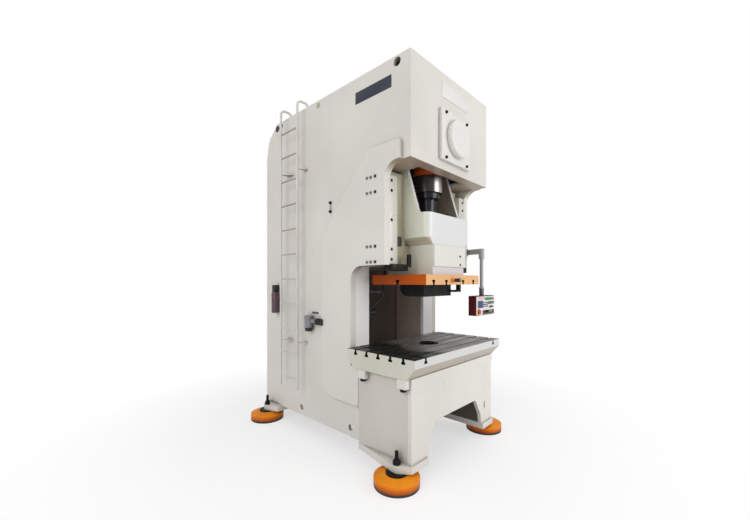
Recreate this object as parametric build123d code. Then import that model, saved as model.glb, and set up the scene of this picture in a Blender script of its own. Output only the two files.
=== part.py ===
from build123d import *
import math
import os

# Open-front mechanical stamping press. X runs across the machine, Y runs from its
# front to its back, Z is up. The origin is on the floor, midway between the feet.
# Lengths are in millimetres. Depths named "_s" are counted back from the head's front.

# Fits and seats
run_gap = 0.05
seat_gap = 0.3
screw_gap = 0.5

# Frame
half_width = 725.0
side_thk = 35.0
cheek_thk = 40.0
top_z = 3852.0
head_bottom_z = 2892.0
frame_bottom_z = 178.0
frame_rear_s = 2183.0
plate_thk = 40.0
top_thk = 12.0
head_front_thk = 50.0
upright_s = 275.0
throat_s = 740.0
throat_top_z = 1940.0
bed_top_z = 928.0
throat_radius = 150.0
cheek_radius = 200.0
cheek_front_s = 91.0
cheek_top_z = 3070.0
cheek_top_rear_s = 496.0
cheek_knee_s = 945.0
cheek_knee_z = 2576.0
cheek_rear_s = 1225.0
cheek_shoulder_z = 2245.0
cheek_bottom_z = 535.0
cheek_low_front_s = 628.0
floor_gap = 60.0
floor_front_s = 125.0
floor_rear_s = 600.0
lift_hole_r = 42.0
lift_hole_drop = 58.0
lift_hole_front_s = 155.0
lift_hole_rear_s = 2115.0
base_hole_r = 33.0
base_hole_z = 270.0
base_hole_front_s = 783.0
base_hole_rear_s = 1652.0
liner_width = 195.0
liner_thk = 25.0

# Feet
foot_pitch_y = 2210.0
foot_front_s = 80.0
foot_overhang = 95.0
pad_r = 205.0
rubber_r = 203.0
rubber_thk = 22.0
band_top_z = 80.0
cone_top_z = 104.0
cone_top_r = 105.0
disc_r = 98.0
foot_plate_thk = 63.0
foot_lip = 17.0
foot_inner = 195.0
foot_flare = 132.0
foot_rear_flare = 30.0
foot_length = 691.0
stud_r = 17.0
stud_top_z = 293.0
nut_r = 36.0
nut_thk = 30.0

# Bed
bed_front_s = -40.0
bed_side_rear_s = 607.0
bed_plate_thk = 60.0
arch_bottom_half = 525.0
arch_knee_half = 505.0
arch_knee_z = 285.0
arch_shoulder_half = 385.0
arch_top_z = 473.0
arch_radius = 60.0
arch_knee_radius = 90.0
bed_hole_r = 10.0
bed_hole_x = 243.0
bed_hole_z = 807.0
bed_hole_pitch = 70.0
bed_slot_x = 597.0
bed_slot_z = 372.0
bed_slot_length = 82.0
bed_slot_width = 22.0
rib_x = 395.0
rib_thk = 30.0
scrap_hole_r = 150.0

# Bolster
die_s = 330.0
bolster_half = 800.0
bolster_depth = 816.0
bolster_top_z = 1105.0
bolster_edge = 68.0
bolster_taper = 69.0
bolster_hole_r = 120.0
slot_pitch = 150.0
slot_count = 5
slot_mouth = 28.0
slot_neck = 26.0
slot_foot = 46.0
slot_foot_height = 22.0
cross_slot_x = 390.0
lug_width = 100.0
lug_depth = 36.0
lug_height = 82.0
lug_front_s = 25.0
lug_rear_s = 523.0
lug_bolt_r = 16.0

# Slide ways
gib_inner = 147.0
gib_front_thk = 68.0
gib_rear_thk = 40.0
gib_bottom_z = 1950.0
gib_top_z = 2766.0
column_thk = 65.0
way_rear_s = 560.0
liner_plate_thk = 20.0
gib_bolt_x = 75.0
gib_bolt_r = 15.0
gib_bolt_head = 12.0
gib_bolt_zs = (1989.0, 2083.0, 2356.0, 2629.0, 2721.0)
side_screw_zs = (1971.0, 2119.0, 2638.0, 2787.0)
side_screw_ss = (392.0, 452.0, 502.0)
side_screw_r = 9.0
side_screw_head = 8.0
stop_depth = 38.0
stop_way_gap = 5.0
stop_height = 62.0
stop_base = 95.0
stop_reach = 190.0
stop_bar = 24.0

# Slide
stroke = 200.0
slide_bottom_z = 1752.0
slide_plate_thk = 99.0
slide_plate_half = 510.0
slide_plate_front_s = -15.0
slide_slot_xs = (-385.0, -164.0, 164.0, 385.0)
slide_half = 298.0
slide_front_s = 54.0
slide_rear_s = 640.0
slide_cover_thk = 20.0
slide_base_top_z = 1935.0
slide_neck_z = 2150.0
slide_head_z = 2215.0
slide_head_half = 371.0
slide_head_front_s = 34.0
slide_head_radius = 70.0
slide_wall = 40.0
slide_lip_z = 2460.0
slide_top_z = 2868.0
slide_wall_front_s = 150.0
slide_wall_top_s = 306.0
slide_cavity_z = 2190.0
guide_bottom_z = 1960.0
guide_top_z = 2860.0
holder_half = 230.0
holder_front_s = 210.0
holder_rear_s = 528.0
holder_height = 126.0
holder_radius = 90.0
shank_r = 30.0

# Connecting rod and height adjustment
adjust_travel = 110.0
crank_z = 3230.0
crank_throw = 100.0
big_end_r = 245.0
big_end_bore = 174.0
big_end_width = 150.0
rod_width = 250.0
rod_foot_z = 2957.0
sleeve_r = 161.0
sleeve_bottom_z = 2735.0
ring_r = 133.0
ring_thk = 60.0
screw_r = 92.0
screw_bottom_z = 2330.0
screw_top_z = 2900.0
ball_r = 130.0
ball_gap = 0.3
seat_r = 175.0
seat_above = 60.0

# Crankshaft, gears and drive
crank_pin_r = 70.0
journal_r = 110.0
web_thk = 60.0
web_r = 215.0
bearing_r = 165.0
rear_bearing_s = 740.0
bearing_width = 110.0
crank_rear_s = 1150.0
gear_module = 10.0
gear_teeth = 84
pinion_teeth = 16
gear_face = 110.0
gear_s = 960.0
gear_play = 3.0
pinion_shaft_r = 55.0
pinion_rear_s = 2400.0
flywheel_r = 400.0
flywheel_width = 130.0
flywheel_s = 2230.0
flywheel_hub_r = 110.0
motor_z = 640.0
motor_r = 170.0
motor_length = 420.0
motor_shaft_r = 24.0
motor_shaft_depth = 99.0
motor_hole_r = 60.0
motor_fins = 24
motor_fin_depth = 14.0
motor_fin_gap = 16.0
motor_fin_end = 60.0
motor_box_half = 80.0
motor_box_front = 100.0
motor_box_length = 140.0
motor_box_rise = 90.0
pulley_r = 100.0
belt_thk = 10.0
belt_width = 22.0
belt_count = 4
balance_x = 250.0
balance_s = 665.0
balance_r = 62.0
balance_bore = 50.0
balance_rod_r = 20.0
balance_length = 560.0
balance_lug = 80.0
balance_foot_z = 2300.0

# Crank cover on the head's front
cover_half_x = 275.0
cover_half_z = 250.0
cover_thk = 35.0
drum_r = 183.0
drum_front_s = -95.0
cover_bolt_x = 200.0
cover_bolt_z = 222.0
cover_bolt_r = 14.0

# Rear guard
guard_thk = 6.0
guard_rear_s = 2470.0
guard_top_s = 2215.0
guard_knee_s = 2415.0
guard_knee_z = 3690.0
guard_round_z = 3445.0
guard_bottom_z = 190.0

# Ladder
ladder_front_s = 1584.0
ladder_width = 354.0
ladder_standoff = 110.0
ladder_rail_r = 14.0
ladder_rung_r = 9.0
ladder_bottom_z = 515.0
ladder_rung_z = 632.0
ladder_rung_pitch = 296.0
ladder_rungs = 11
ladder_bracket_zs = (1060.0, 3110.0)
ladder_hook = 150.0
ladder_hook_rise = 60.0
ladder_hook_rs = (60.0, 45.0)

# Pendant control
pivot_x = 835.0
pivot_s = 330.0
pivot_z = 2149.0
pivot_r = 14.0
pivot_hub_r = 31.0
bracket_thk = 12.0
ear_thk = 16.0
elbow_r = 33.0
elbow_drop = 62.0
arm_width = 50.0
arm_height = 62.0
tube_x = 783.0
tube_s = 87.0
tube_r = 21.0
tube_bottom_z = 1700.0
box_top_z = 1615.0
box_half = 233.0
box_height = 230.0
box_depth = 97.0
panel_thk = 4.0
neck_r = 28.0
button_r = 15.0
button_travel = 5.0
stop_button_r = 24.0
stem_share = 0.6
stem_gap = 0.3
stem_tail = 4.0
well_spare = 5.0
cap_clear = 1.0
selector_thk = 14.0
grip_out = 12.0
grip_half = 4.0
grip_length = 26.0
stop_x = -170.0
selector_x = 10.0
button_xs = (70.0, 120.0, 170.0)
button_row = 44.0
button_height = 8.0
stop_height_out = 14.0
box_corner = 6.0
panel_margin = 8.0

# Side fittings on the left
air_s = 1445.0
air_z = 1310.0
pump_s = 2265.0
pump_z = 1700.0
hose_s = 820.0
hose_r = 12.0
hose_top_x = -150.0
hose_bends = ((-166.0, 1737.0), (-218.0, 1607.0), (-301.0, 1536.0), (-382.0, 1484.0))
hose_end_z = 1452.0
valve_s = 868.0
valve_z = 1435.0
valve_r = 34.0
valve_length = 243.0
gauge_s = 1095.0
gauge_z = 2590.0

front_y = -(foot_pitch_y / 2 + foot_front_s)
die_y = front_y + die_s
inner_half = half_width - side_thk
outer_half = half_width + cheek_thk
column_inner = half_width - side_thk - column_thk
way_front_s = upright_s + gib_front_thk
slide_top_of_plate = slide_bottom_z + slide_plate_thk
gear_r = gear_module * gear_teeth / 2
pinion_r = gear_module * pinion_teeth / 2
pinion_z = crank_z - gear_r - pinion_r - gear_play
foot_plate_z = frame_bottom_z - foot_plate_thk


def depth(s):
    return front_y + s


def block(x0, x1, s0, s1, z0, z1):
    middle = Pos((x0 + x1) / 2, depth((s0 + s1) / 2), (z0 + z1) / 2)
    return middle * Box(x1 - x0, s1 - s0, z1 - z0)


def side_profile(points, radii=None):
    places = [(depth(s), z) for s, z in points]
    if radii is None:
        edge = Polyline(*places, close=True)
    else:
        edge = FilletPolyline(*places, radius=radii, close=True)
    return make_face(edge)


def side_slab(points, x0, x1, radii=None):
    return extrude(Plane.YZ.offset(x0) * side_profile(points, radii), amount=x1 - x0)


def front_slab(points, s0, s1, radii=None):
    if radii is None:
        edge = Polyline(*points, close=True)
    else:
        edge = FilletPolyline(*points, radius=radii, close=True)
    plane = Plane(origin=(0, depth(s1), 0), x_dir=(1, 0, 0), z_dir=(0, -1, 0))
    return extrude(plane * make_face(edge), amount=s1 - s0)


def rod_x(x0, x1, s, z, r):
    return Pos((x0 + x1) / 2, depth(s), z) * Rot(0, 90, 0) * Cylinder(r, x1 - x0)


def rod_y(x, s0, s1, z, r):
    return Pos(x, depth((s0 + s1) / 2), z) * Rot(90, 0, 0) * Cylinder(r, s1 - s0)


def rod_z(x, s, z0, z1, r):
    return Pos(x, depth(s), (z0 + z1) / 2) * Cylinder(r, z1 - z0)


def mirrored(part):
    return mirror(part, about=Plane.YZ)


def both(part):
    return [part, mirrored(part)]


def save(name, *pieces):
    shape = pieces[0] if len(pieces) == 1 else Compound(children=list(pieces))
    export_step(shape, f"parts/{name}.step")


# Frame

def side_plate():
    outline = [
        (0, head_bottom_z), (0, top_z), (frame_rear_s, top_z), (frame_rear_s, frame_bottom_z),
        (0, frame_bottom_z), (0, bed_top_z), (throat_s, bed_top_z), (throat_s, throat_top_z),
        (upright_s, throat_top_z), (upright_s, head_bottom_z),
    ]
    radii = [0, 0, 0, 0, 0, 0, 0, throat_radius, 0, throat_radius]
    plate = side_slab(outline, -half_width, -inner_half, radii)
    lift_z = top_z - lift_hole_drop
    for s in (lift_hole_front_s, lift_hole_rear_s):
        plate -= rod_x(-half_width - 1, -inner_half + 1, s, lift_z, lift_hole_r)
    for s in (base_hole_front_s, base_hole_rear_s):
        plate -= rod_x(-half_width - 1, -inner_half + 1, s, base_hole_z, base_hole_r)
    for z in side_screw_zs:
        for s in side_screw_ss:
            plate -= rod_x(-half_width - 1, -inner_half + 1, s, z, side_screw_r + screw_gap)
    return plate


def cheek():
    outline = [
        (cheek_front_s, head_bottom_z), (cheek_front_s, cheek_top_z), (cheek_top_rear_s, cheek_top_z),
        (cheek_knee_s, cheek_knee_z), (cheek_rear_s, cheek_shoulder_z), (cheek_rear_s, cheek_bottom_z),
        (cheek_low_front_s, cheek_bottom_z), (cheek_low_front_s, bed_top_z), (throat_s, bed_top_z),
        (throat_s, throat_top_z), (upright_s, throat_top_z), (upright_s, head_bottom_z),
    ]
    radii = [0, 20, 60, 300, 120, cheek_radius, 40, 0, 0, throat_radius, 0, throat_radius]
    plate = side_slab(outline, -outer_half, -half_width, radii)
    for z in side_screw_zs:
        for s in side_screw_ss:
            plate -= rod_x(-outer_half - 1, -half_width + 1, s, z, side_screw_r + screw_gap)
    return plate


def head_front():
    plate = block(-inner_half, inner_half, 0, head_front_thk, head_bottom_z, top_z)
    plate -= rod_y(0, -1, head_front_thk + 1, crank_z, bearing_r + seat_gap)
    for x in (-cover_bolt_x, cover_bolt_x):
        for z in (crank_z - cover_bolt_z, crank_z + cover_bolt_z):
            plate -= rod_y(x, -1, head_front_thk + 1, z, cover_bolt_r / 2 + screw_gap)
    return plate


def head_floor():
    high_z = head_bottom_z + plate_thk
    floor = block(-inner_half, inner_half, head_front_thk, throat_s, head_bottom_z, high_z)
    opening_half = slide_head_half + floor_gap
    floor -= block(-opening_half, opening_half, floor_front_s, floor_rear_s, head_bottom_z - 1, high_z + 1)
    for x in (-balance_x, balance_x):
        floor -= rod_z(x, balance_s, head_bottom_z - 1, high_z + 1, balance_rod_r + 6)
    return floor


def top_plate():
    return block(-inner_half, inner_half, head_front_thk, frame_rear_s, top_z - top_thk, top_z)


def rear_plate():
    front = frame_rear_s - plate_thk
    plate = block(-inner_half, inner_half, front, frame_rear_s, frame_bottom_z, top_z - top_thk)
    plate -= rod_y(0, front - 1, frame_rear_s + 1, pinion_z, bearing_r + seat_gap)
    return plate - rod_y(0, front - 1, frame_rear_s + 1, motor_z, motor_hole_r)


def slide_backing():
    low_z = throat_top_z + plate_thk
    return block(-inner_half, inner_half, throat_s, throat_s + plate_thk, low_z, head_bottom_z + plate_thk)


def throat_ceiling():
    rear = frame_rear_s - plate_thk
    return block(-inner_half, inner_half, throat_s, rear, throat_top_z, throat_top_z + plate_thk)


def upright_liner():
    inner = inner_half - liner_width
    rear = frame_rear_s - plate_thk
    front = block(-inner_half, -inner, throat_s, throat_s + plate_thk, frame_bottom_z, throat_top_z)
    side = block(-inner - liner_thk, -inner, throat_s + plate_thk, rear, frame_bottom_z, throat_top_z)
    return front + side


def bed_front():
    half = outer_half
    outline = [(-half, frame_bottom_z), (-half, bed_top_z), (half, bed_top_z), (half, frame_bottom_z)]
    plate = front_slab(outline, bed_front_s, 0)
    arch = [
        (-arch_bottom_half, frame_bottom_z - 1), (-arch_knee_half, arch_knee_z),
        (-arch_shoulder_half, arch_top_z), (arch_shoulder_half, arch_top_z),
        (arch_knee_half, arch_knee_z), (arch_bottom_half, frame_bottom_z - 1),
    ]
    radii = [0, arch_knee_radius, arch_radius, arch_radius, arch_knee_radius, 0]
    plate -= front_slab(arch, bed_front_s - 1, 1, radii)
    for x in (-bed_hole_x, bed_hole_x):
        for z in (bed_hole_z, bed_hole_z - bed_hole_pitch):
            plate -= rod_y(x, bed_front_s - 1, 1, z, bed_hole_r)
    slot_plane = Plane(origin=(bed_slot_x, depth(1), bed_slot_z), x_dir=(0, 0, 1), z_dir=(0, -1, 0))
    slot = SlotOverall(bed_slot_length, bed_slot_width)
    plate -= extrude(slot_plane * slot, amount=2 - bed_front_s)
    return plate


def bed_side():
    return block(-outer_half, -half_width, 0, bed_side_rear_s, frame_bottom_z, bed_top_z)


def bed_plates():
    top = block(-inner_half, inner_half, 0, throat_s, bed_top_z - bed_plate_thk, bed_top_z)
    top -= rod_z(0, die_s, bed_top_z - bed_plate_thk - 1, bed_top_z + 1, scrap_hole_r)
    rib = block(-rib_x - rib_thk, -rib_x, 0, throat_s, frame_bottom_z, bed_top_z - bed_plate_thk)
    window = [(140, 330), (140, 620), (600, 620), (600, 330)]
    rib -= side_slab(window, -rib_x - rib_thk - 1, -rib_x + 1, [80] * 4)
    back = block(-rib_x, rib_x, throat_s - plate_thk, throat_s, arch_top_z, bed_top_z - bed_plate_thk)
    return [top, rib, mirrored(rib), back]


def foot_plate():
    x0 = -half_width
    outline = [
        (x0 + foot_inner, depth(bed_front_s - foot_lip)),
        (x0 - cheek_thk - 10, depth(bed_front_s - foot_lip)),
        (x0 - foot_flare, depth(foot_front_s - 25)),
        (x0 - foot_flare, depth(foot_front_s + 25)),
        (x0 - foot_rear_flare, depth(bed_front_s - foot_lip + foot_length)),
        (x0 + foot_inner, depth(bed_front_s - foot_lip + foot_length)),
    ]
    edge = FilletPolyline(*outline, radius=[0, 12, 40, 40, 10, 0], close=True)
    plate = Pos(0, 0, foot_plate_z) * extrude(make_face(edge), amount=foot_plate_thk)
    hole = rod_z(x0 - foot_overhang, foot_front_s, foot_plate_z - 1, frame_bottom_z + 1, stud_r + screw_gap)
    return plate - hole


def four_feet(piece):
    rear = mirror(piece, about=Plane.XZ)
    return [piece, mirrored(piece), rear, mirrored(rear)]


def ring_profile(points):
    face = make_face(Polyline(*points, close=True))
    return revolve(Plane.XZ * face, axis=Axis.Z)


def at_foot(piece):
    return Pos(-half_width - foot_overhang, depth(foot_front_s), 0) * piece


def foot_pad():
    hole_r = stud_r + screw_gap
    points = [
        (hole_r, rubber_thk), (pad_r, rubber_thk), (pad_r, band_top_z),
        (cone_top_r, cone_top_z), (hole_r, cone_top_z),
    ]
    return at_foot(ring_profile(points))


def pad_rubber():
    return at_foot(Pos(0, 0, rubber_thk / 2) * Cylinder(rubber_r, rubber_thk))


def foot_stud():
    stud = at_foot(rod_at(rubber_thk + screw_gap, stud_top_z, stud_r))
    disc = at_foot(rod_at(cone_top_z, foot_plate_z, disc_r))
    flats = RegularPolygon(nut_r, 6)
    nut = extrude(flats, amount=nut_thk)
    collar = Pos(0, 0, nut_thk) * Cone(nut_r * 0.86, stud_r + 6, 16, align=(Align.CENTER, Align.CENTER, Align.MIN))
    nut = Pos(0, 0, frame_bottom_z) * (nut + collar)
    return stud + disc + at_foot(nut)


def rod_at(z0, z1, r):
    return Pos(0, 0, (z0 + z1) / 2) * Cylinder(r, z1 - z0)


def rear_guard():
    outline = [
        (frame_rear_s, guard_bottom_z), (frame_rear_s, top_z), (guard_top_s, top_z),
        (guard_knee_s, guard_knee_z), (guard_rear_s, guard_round_z), (guard_rear_s, guard_bottom_z),
    ]
    face = side_profile(outline, [0, 0, 80, 200, 300, 0])
    shell = extrude(Plane.YZ.offset(-half_width) * face, amount=2 * half_width)
    hollow = offset(face, amount=-guard_thk)
    core_half = half_width - guard_thk
    core = extrude(Plane.YZ.offset(-core_half) * hollow, amount=2 * core_half)
    mouth_rear = frame_rear_s + guard_thk
    core += block(-core_half, core_half, frame_rear_s - 1, mouth_rear, guard_bottom_z + guard_thk, top_z - guard_thk)
    return shell - core


# Bolster

def tee_points(mouth_z, direction):
    half = slot_mouth / 2
    foot = slot_foot / 2
    neck = mouth_z - direction * slot_neck
    base = neck - direction * slot_foot_height
    lip = mouth_z + direction
    return [(-half, lip), (-half, neck), (-foot, neck), (-foot, base), (foot, base), (foot, neck), (half, neck), (half, lip)]


def tee_along_x(s, mouth_z, direction, x0, x1):
    points = [(s + a, z) for a, z in tee_points(mouth_z, direction)]
    return side_slab(points, x0, x1)


def tee_along_y(x, mouth_z, direction, s0, s1):
    points = [(x + a, z) for a, z in tee_points(mouth_z, direction)]
    return front_slab(points, s0, s1)


def bolster():
    front = die_s - bolster_depth / 2
    rear = die_s + bolster_depth / 2
    edge_z = bolster_top_z - bolster_edge
    plate = block(-bolster_half, bolster_half, front, rear, edge_z, bolster_top_z)
    low = Rectangle(2 * (bolster_half - bolster_taper), bolster_depth - 2 * bolster_taper)
    high = Rectangle(2 * bolster_half, bolster_depth)
    skirt = loft([Pos(0, die_y, bed_top_z) * low, Pos(0, die_y, edge_z) * high])
    plate += skirt
    plate -= rod_z(0, die_s, bed_top_z - 1, bolster_top_z + 1, bolster_hole_r)
    for i in range(slot_count):
        s = die_s + slot_pitch * (i - (slot_count - 1) / 2)
        plate -= tee_along_x(s, bolster_top_z, 1, -bolster_half - 1, bolster_half + 1)
    for x in (-cross_slot_x, cross_slot_x):
        plate -= tee_along_y(x, bolster_top_z, 1, front - 1, rear + 1)
    return plate


def lug(s):
    x0 = -outer_half - lug_depth
    piece = block(x0, -outer_half, s - lug_width / 2, s + lug_width / 2, bed_top_z - lug_height, bed_top_z)
    return piece


def lug_bolt(s):
    x = -outer_half - lug_depth / 2
    low_z = bed_top_z - lug_height
    return rod_z(x, s, low_z - 26, low_z, lug_bolt_r)


# Slide ways

def gib_column():
    piece = block(-inner_half, -column_inner, way_front_s, way_rear_s, gib_bottom_z, gib_top_z)
    for z in side_screw_zs[:3]:
        for s in side_screw_ss:
            piece -= rod_x(-inner_half - 1, -column_inner + 1, s, z, side_screw_r + screw_gap)
    return piece


def front_gib():
    piece = block(-inner_half, -half_width + gib_inner, upright_s, way_front_s, gib_bottom_z, gib_top_z)
    for z in gib_bolt_zs:
        x = -half_width + gib_bolt_x
        piece -= rod_y(x, upright_s - 1, upright_s + gib_bolt_head + 4, z, gib_bolt_r + 2)
    return piece


def rear_gib():
    return block(-inner_half, -half_width + gib_inner, way_rear_s, way_rear_s + gib_rear_thk, gib_bottom_z, gib_top_z)


def gib_bolts():
    x = -half_width + gib_bolt_x
    recess = upright_s + 4
    return [rod_y(x, recess, recess + gib_bolt_head, z, gib_bolt_r) for z in gib_bolt_zs]


def side_liner():
    return block(-column_inner, -column_inner + liner_plate_thk, way_front_s + 6, way_rear_s - 6, gib_bottom_z + 5, gib_top_z - 5)


def side_screws():
    screws = []
    for z in side_screw_zs:
        tip = -inner_half if z > gib_top_z else -column_inner
        for s in side_screw_ss:
            shank = rod_x(-outer_half, tip, s, z, side_screw_r)
            head = rod_x(-outer_half - side_screw_head, -outer_half, s, z, side_screw_r + 5)
            screws.append(shank + head)
    return screws


def stop_bracket():
    x0 = -column_inner
    rear = way_front_s - stop_way_gap
    front = rear - stop_depth
    tip_x = x0 + stop_reach
    base = block(-inner_half, x0 + stop_base, front, rear, gib_bottom_z - stop_height, gib_bottom_z)
    arm = block(x0 + stop_base, tip_x, front, front + stop_bar, gib_bottom_z - stop_bar, gib_bottom_z)
    finger = block(tip_x - stop_bar, tip_x, front, front + stop_bar, gib_bottom_z, gib_bottom_z + stop_height)
    return base + arm + finger


# Slide

def slide_body():
    base = block(-slide_half, slide_half, slide_front_s, slide_rear_s, slide_top_of_plate, slide_neck_z)
    head_depth = slide_rear_s - slide_head_front_s
    low = Rectangle(2 * slide_half, slide_rear_s - slide_front_s)
    high = Rectangle(2 * slide_head_half, head_depth)
    low_y = depth((slide_front_s + slide_rear_s) / 2)
    high_y = depth((slide_head_front_s + slide_rear_s) / 2)
    skirt = loft([Pos(0, low_y, slide_neck_z) * low, Pos(0, high_y, slide_head_z) * high])
    tub = block(-slide_head_half, slide_head_half, slide_head_front_s, slide_rear_s, slide_head_z, slide_top_z)
    body = base + skirt + tub
    inner = slide_head_half - slide_wall
    body -= block(-inner, inner, slide_head_front_s + slide_wall, slide_rear_s - slide_wall, slide_cavity_z, slide_top_z + 1)
    notch = [
        (slide_head_front_s - 1, slide_lip_z), (slide_wall_front_s, slide_lip_z),
        (slide_wall_top_s, slide_top_z + 1), (slide_head_front_s - 1, slide_top_z + 1),
    ]
    body -= side_slab(notch, -slide_head_half - 1, slide_head_half + 1, [0, 25, 0, 0])
    corners = [e for e in body.edges().filter_by(Axis.Z) if is_head_corner(e)]
    body = fillet(corners, slide_head_radius)
    body += rod_z(0, die_s, slide_cavity_z, screw_bottom_z + seat_above, seat_r)
    body -= Pos(0, die_y, screw_bottom_z) * Sphere(ball_r + ball_gap)
    for x in (-balance_x, balance_x):
        lug_x0 = x - balance_lug / 2
        lug_rear = balance_s + balance_rod_r + 10
        body += block(lug_x0, lug_x0 + balance_lug, slide_rear_s, lug_rear, balance_foot_z - 50, balance_foot_z)
    return body


def is_head_corner(edge):
    middle = edge.center()
    near_front = abs(middle.Y - depth(slide_head_front_s)) < 1
    at_side = abs(abs(middle.X) - slide_head_half) < 1
    return near_front and at_side


def slide_cover():
    return block(-slide_half, slide_half, slide_front_s - slide_cover_thk, slide_front_s, slide_base_top_z, slide_neck_z)


def slide_guide():
    outer = -column_inner + liner_plate_thk + run_gap
    front = way_front_s + run_gap
    rear = way_rear_s - run_gap
    upper = block(outer, -slide_head_half, front, rear, slide_head_z + 10, guide_top_z)
    lower = block(outer, -slide_half, front, rear, guide_bottom_z, slide_neck_z)
    middle = block(outer, -slide_head_half, front, rear, slide_neck_z, slide_head_z + 10)
    return upper + lower + middle


def slide_plate():
    rear = 2 * die_s - slide_plate_front_s
    plate = block(-slide_plate_half, slide_plate_half, slide_plate_front_s, rear, slide_bottom_z, slide_top_of_plate)
    for x in slide_slot_xs:
        plate -= tee_along_y(x, slide_bottom_z, -1, slide_plate_front_s - 1, rear + 1)
    plate -= tee_along_x(die_s, slide_bottom_z, -1, -slide_plate_half - 1, slide_plate_half + 1)
    return plate


def tool_holder():
    low_z = slide_bottom_z - holder_height
    outline = [
        (holder_front_s, low_z), (holder_front_s, slide_bottom_z),
        (holder_rear_s, slide_bottom_z), (holder_rear_s, low_z),
    ]
    body = side_slab(outline, -holder_half, holder_half, [0, 0, 0, holder_radius])
    body -= rod_z(0, die_s, low_z - 1, slide_bottom_z + 1, shank_r)
    hook = block(holder_half, holder_half + 90, 150, 190, low_z + 40, low_z + 62)
    leg = block(holder_half + 60, holder_half + 90, 150, 190, low_z + 62, slide_bottom_z)
    foot = block(holder_half, holder_half + 30, 150, 230, low_z + 10, low_z + 40)
    link = block(holder_half - 10, holder_half + 30, 150, 230, low_z + 40, low_z + 62)
    return body + hook + leg + foot + link


# Connecting rod

def connecting_rod():
    eye_z = crank_z + crank_throw
    ring = Pos(0, die_y, eye_z) * Rot(90, 0, 0) * Cylinder(big_end_r, big_end_width)
    body = block(-rod_width / 2, rod_width / 2, die_s - big_end_width / 2, die_s + big_end_width / 2, rod_foot_z, eye_z)
    flange = rod_z(0, die_s, rod_foot_z, rod_foot_z + 30, sleeve_r)
    eye = Pos(0, die_y, eye_z) * Rot(90, 0, 0) * Cylinder(big_end_bore, big_end_width + 2)
    return ring + body + flange - eye


def rod_sleeve():
    sleeve = rod_z(0, die_s, sleeve_bottom_z, rod_foot_z, sleeve_r)
    return sleeve - rod_z(0, die_s, sleeve_bottom_z - 1, rod_foot_z + 1, screw_r + run_gap)


def lock_ring():
    low_z = sleeve_bottom_z - ring_thk
    ring = rod_z(0, die_s, low_z, sleeve_bottom_z, ring_r)
    ring -= rod_z(0, die_s, low_z - 1, sleeve_bottom_z + 1, screw_r + run_gap)
    for i in range(8):
        angle = math.radians(22.5 + 45 * i)
        radius = (ring_r + screw_r) / 2
        bolt = rod_z(radius * math.cos(angle), die_s + radius * math.sin(angle), low_z - 12, low_z, 9)
        ring += bolt
    return ring


def adjusting_screw():
    screw = rod_z(0, die_s, screw_bottom_z, screw_top_z, screw_r)
    ball = Pos(0, die_y, screw_bottom_z) * Sphere(ball_r)
    return screw + ball


# Drive

def crankshaft():
    web_front = die_s - big_end_width / 2 - 10 - web_thk
    web_rear = die_s + big_end_width / 2 + 10
    front_journal = rod_y(0, head_front_thk - 40, web_front, crank_z, journal_r)
    rear_journal = rod_y(0, web_rear + web_thk, crank_rear_s, crank_z, journal_r)
    pin = rod_y(0, web_front + web_thk, web_rear, crank_z + crank_throw, crank_pin_r)
    webs = [rod_y(0, s, s + web_thk, crank_z, web_r) for s in (web_front, web_rear)]
    return front_journal + rear_journal + pin + webs[0] + webs[1]


def bearing_housings():
    hole = journal_r + run_gap
    front = rod_y(0, 0, 165, crank_z, bearing_r) - rod_y(0, 5, 166, crank_z, hole)
    width = bearing_width
    back = block(-inner_half, inner_half, rear_bearing_s, rear_bearing_s + width, crank_z - 220, crank_z + 220)
    back -= rod_y(0, rear_bearing_s - 1, rear_bearing_s + width + 1, crank_z, hole)
    pinion_hole = pinion_shaft_r + run_gap
    low = block(-inner_half, inner_half, gear_s + gear_face + 60, gear_s + gear_face + 160, pinion_z - 130, pinion_z + 130)
    low -= rod_y(0, gear_s, gear_s + gear_face + 200, pinion_z, pinion_hole)
    rear = rod_y(0, frame_rear_s - plate_thk, frame_rear_s, pinion_z, bearing_r)
    rear -= rod_y(0, frame_rear_s - plate_thk - 1, frame_rear_s + 1, pinion_z, pinion_hole)
    return [front, back, low, rear]


def toothed(teeth, bore, s0, s1, z, turn):
    pitch_r = gear_module * teeth / 2
    root_r = pitch_r - 1.25 * gear_module
    tip_r = pitch_r + 0.9 * gear_module
    step = 2 * math.pi / teeth
    points = []
    for i in range(teeth):
        centre = step * i + turn
        for share, r in ((-0.3, root_r), (-0.13, tip_r), (0.13, tip_r), (0.3, root_r)):
            angle = centre + share * step
            points.append((r * math.cos(angle), z + r * math.sin(angle)))
    gear = front_slab(points, s0, s1)
    return gear - rod_y(0, s0 - 1, s1 + 1, z, bore)


def main_gear():
    turn = math.pi / gear_teeth
    return toothed(gear_teeth, journal_r + run_gap, gear_s, gear_s + gear_face, crank_z, turn - math.pi / 2)


def pinion_shaft():
    gear = toothed(pinion_teeth, pinion_shaft_r - 5, gear_s - 5, gear_s + gear_face + 5, pinion_z, math.pi / 2)
    return gear + rod_y(0, gear_s - 40, pinion_rear_s, pinion_z, pinion_shaft_r)


def flywheel():
    rim = rod_y(0, flywheel_s, flywheel_s + flywheel_width, pinion_z, flywheel_r)
    dish = rod_y(0, flywheel_s - 1, flywheel_s + 35, pinion_z, flywheel_r - 70) - rod_y(0, flywheel_s - 2, flywheel_s + 36, pinion_z, flywheel_hub_r)
    wheel = rim - dish
    return wheel - rod_y(0, flywheel_s - 1, flywheel_s + flywheel_width + 1, pinion_z, pinion_shaft_r + run_gap)


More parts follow.
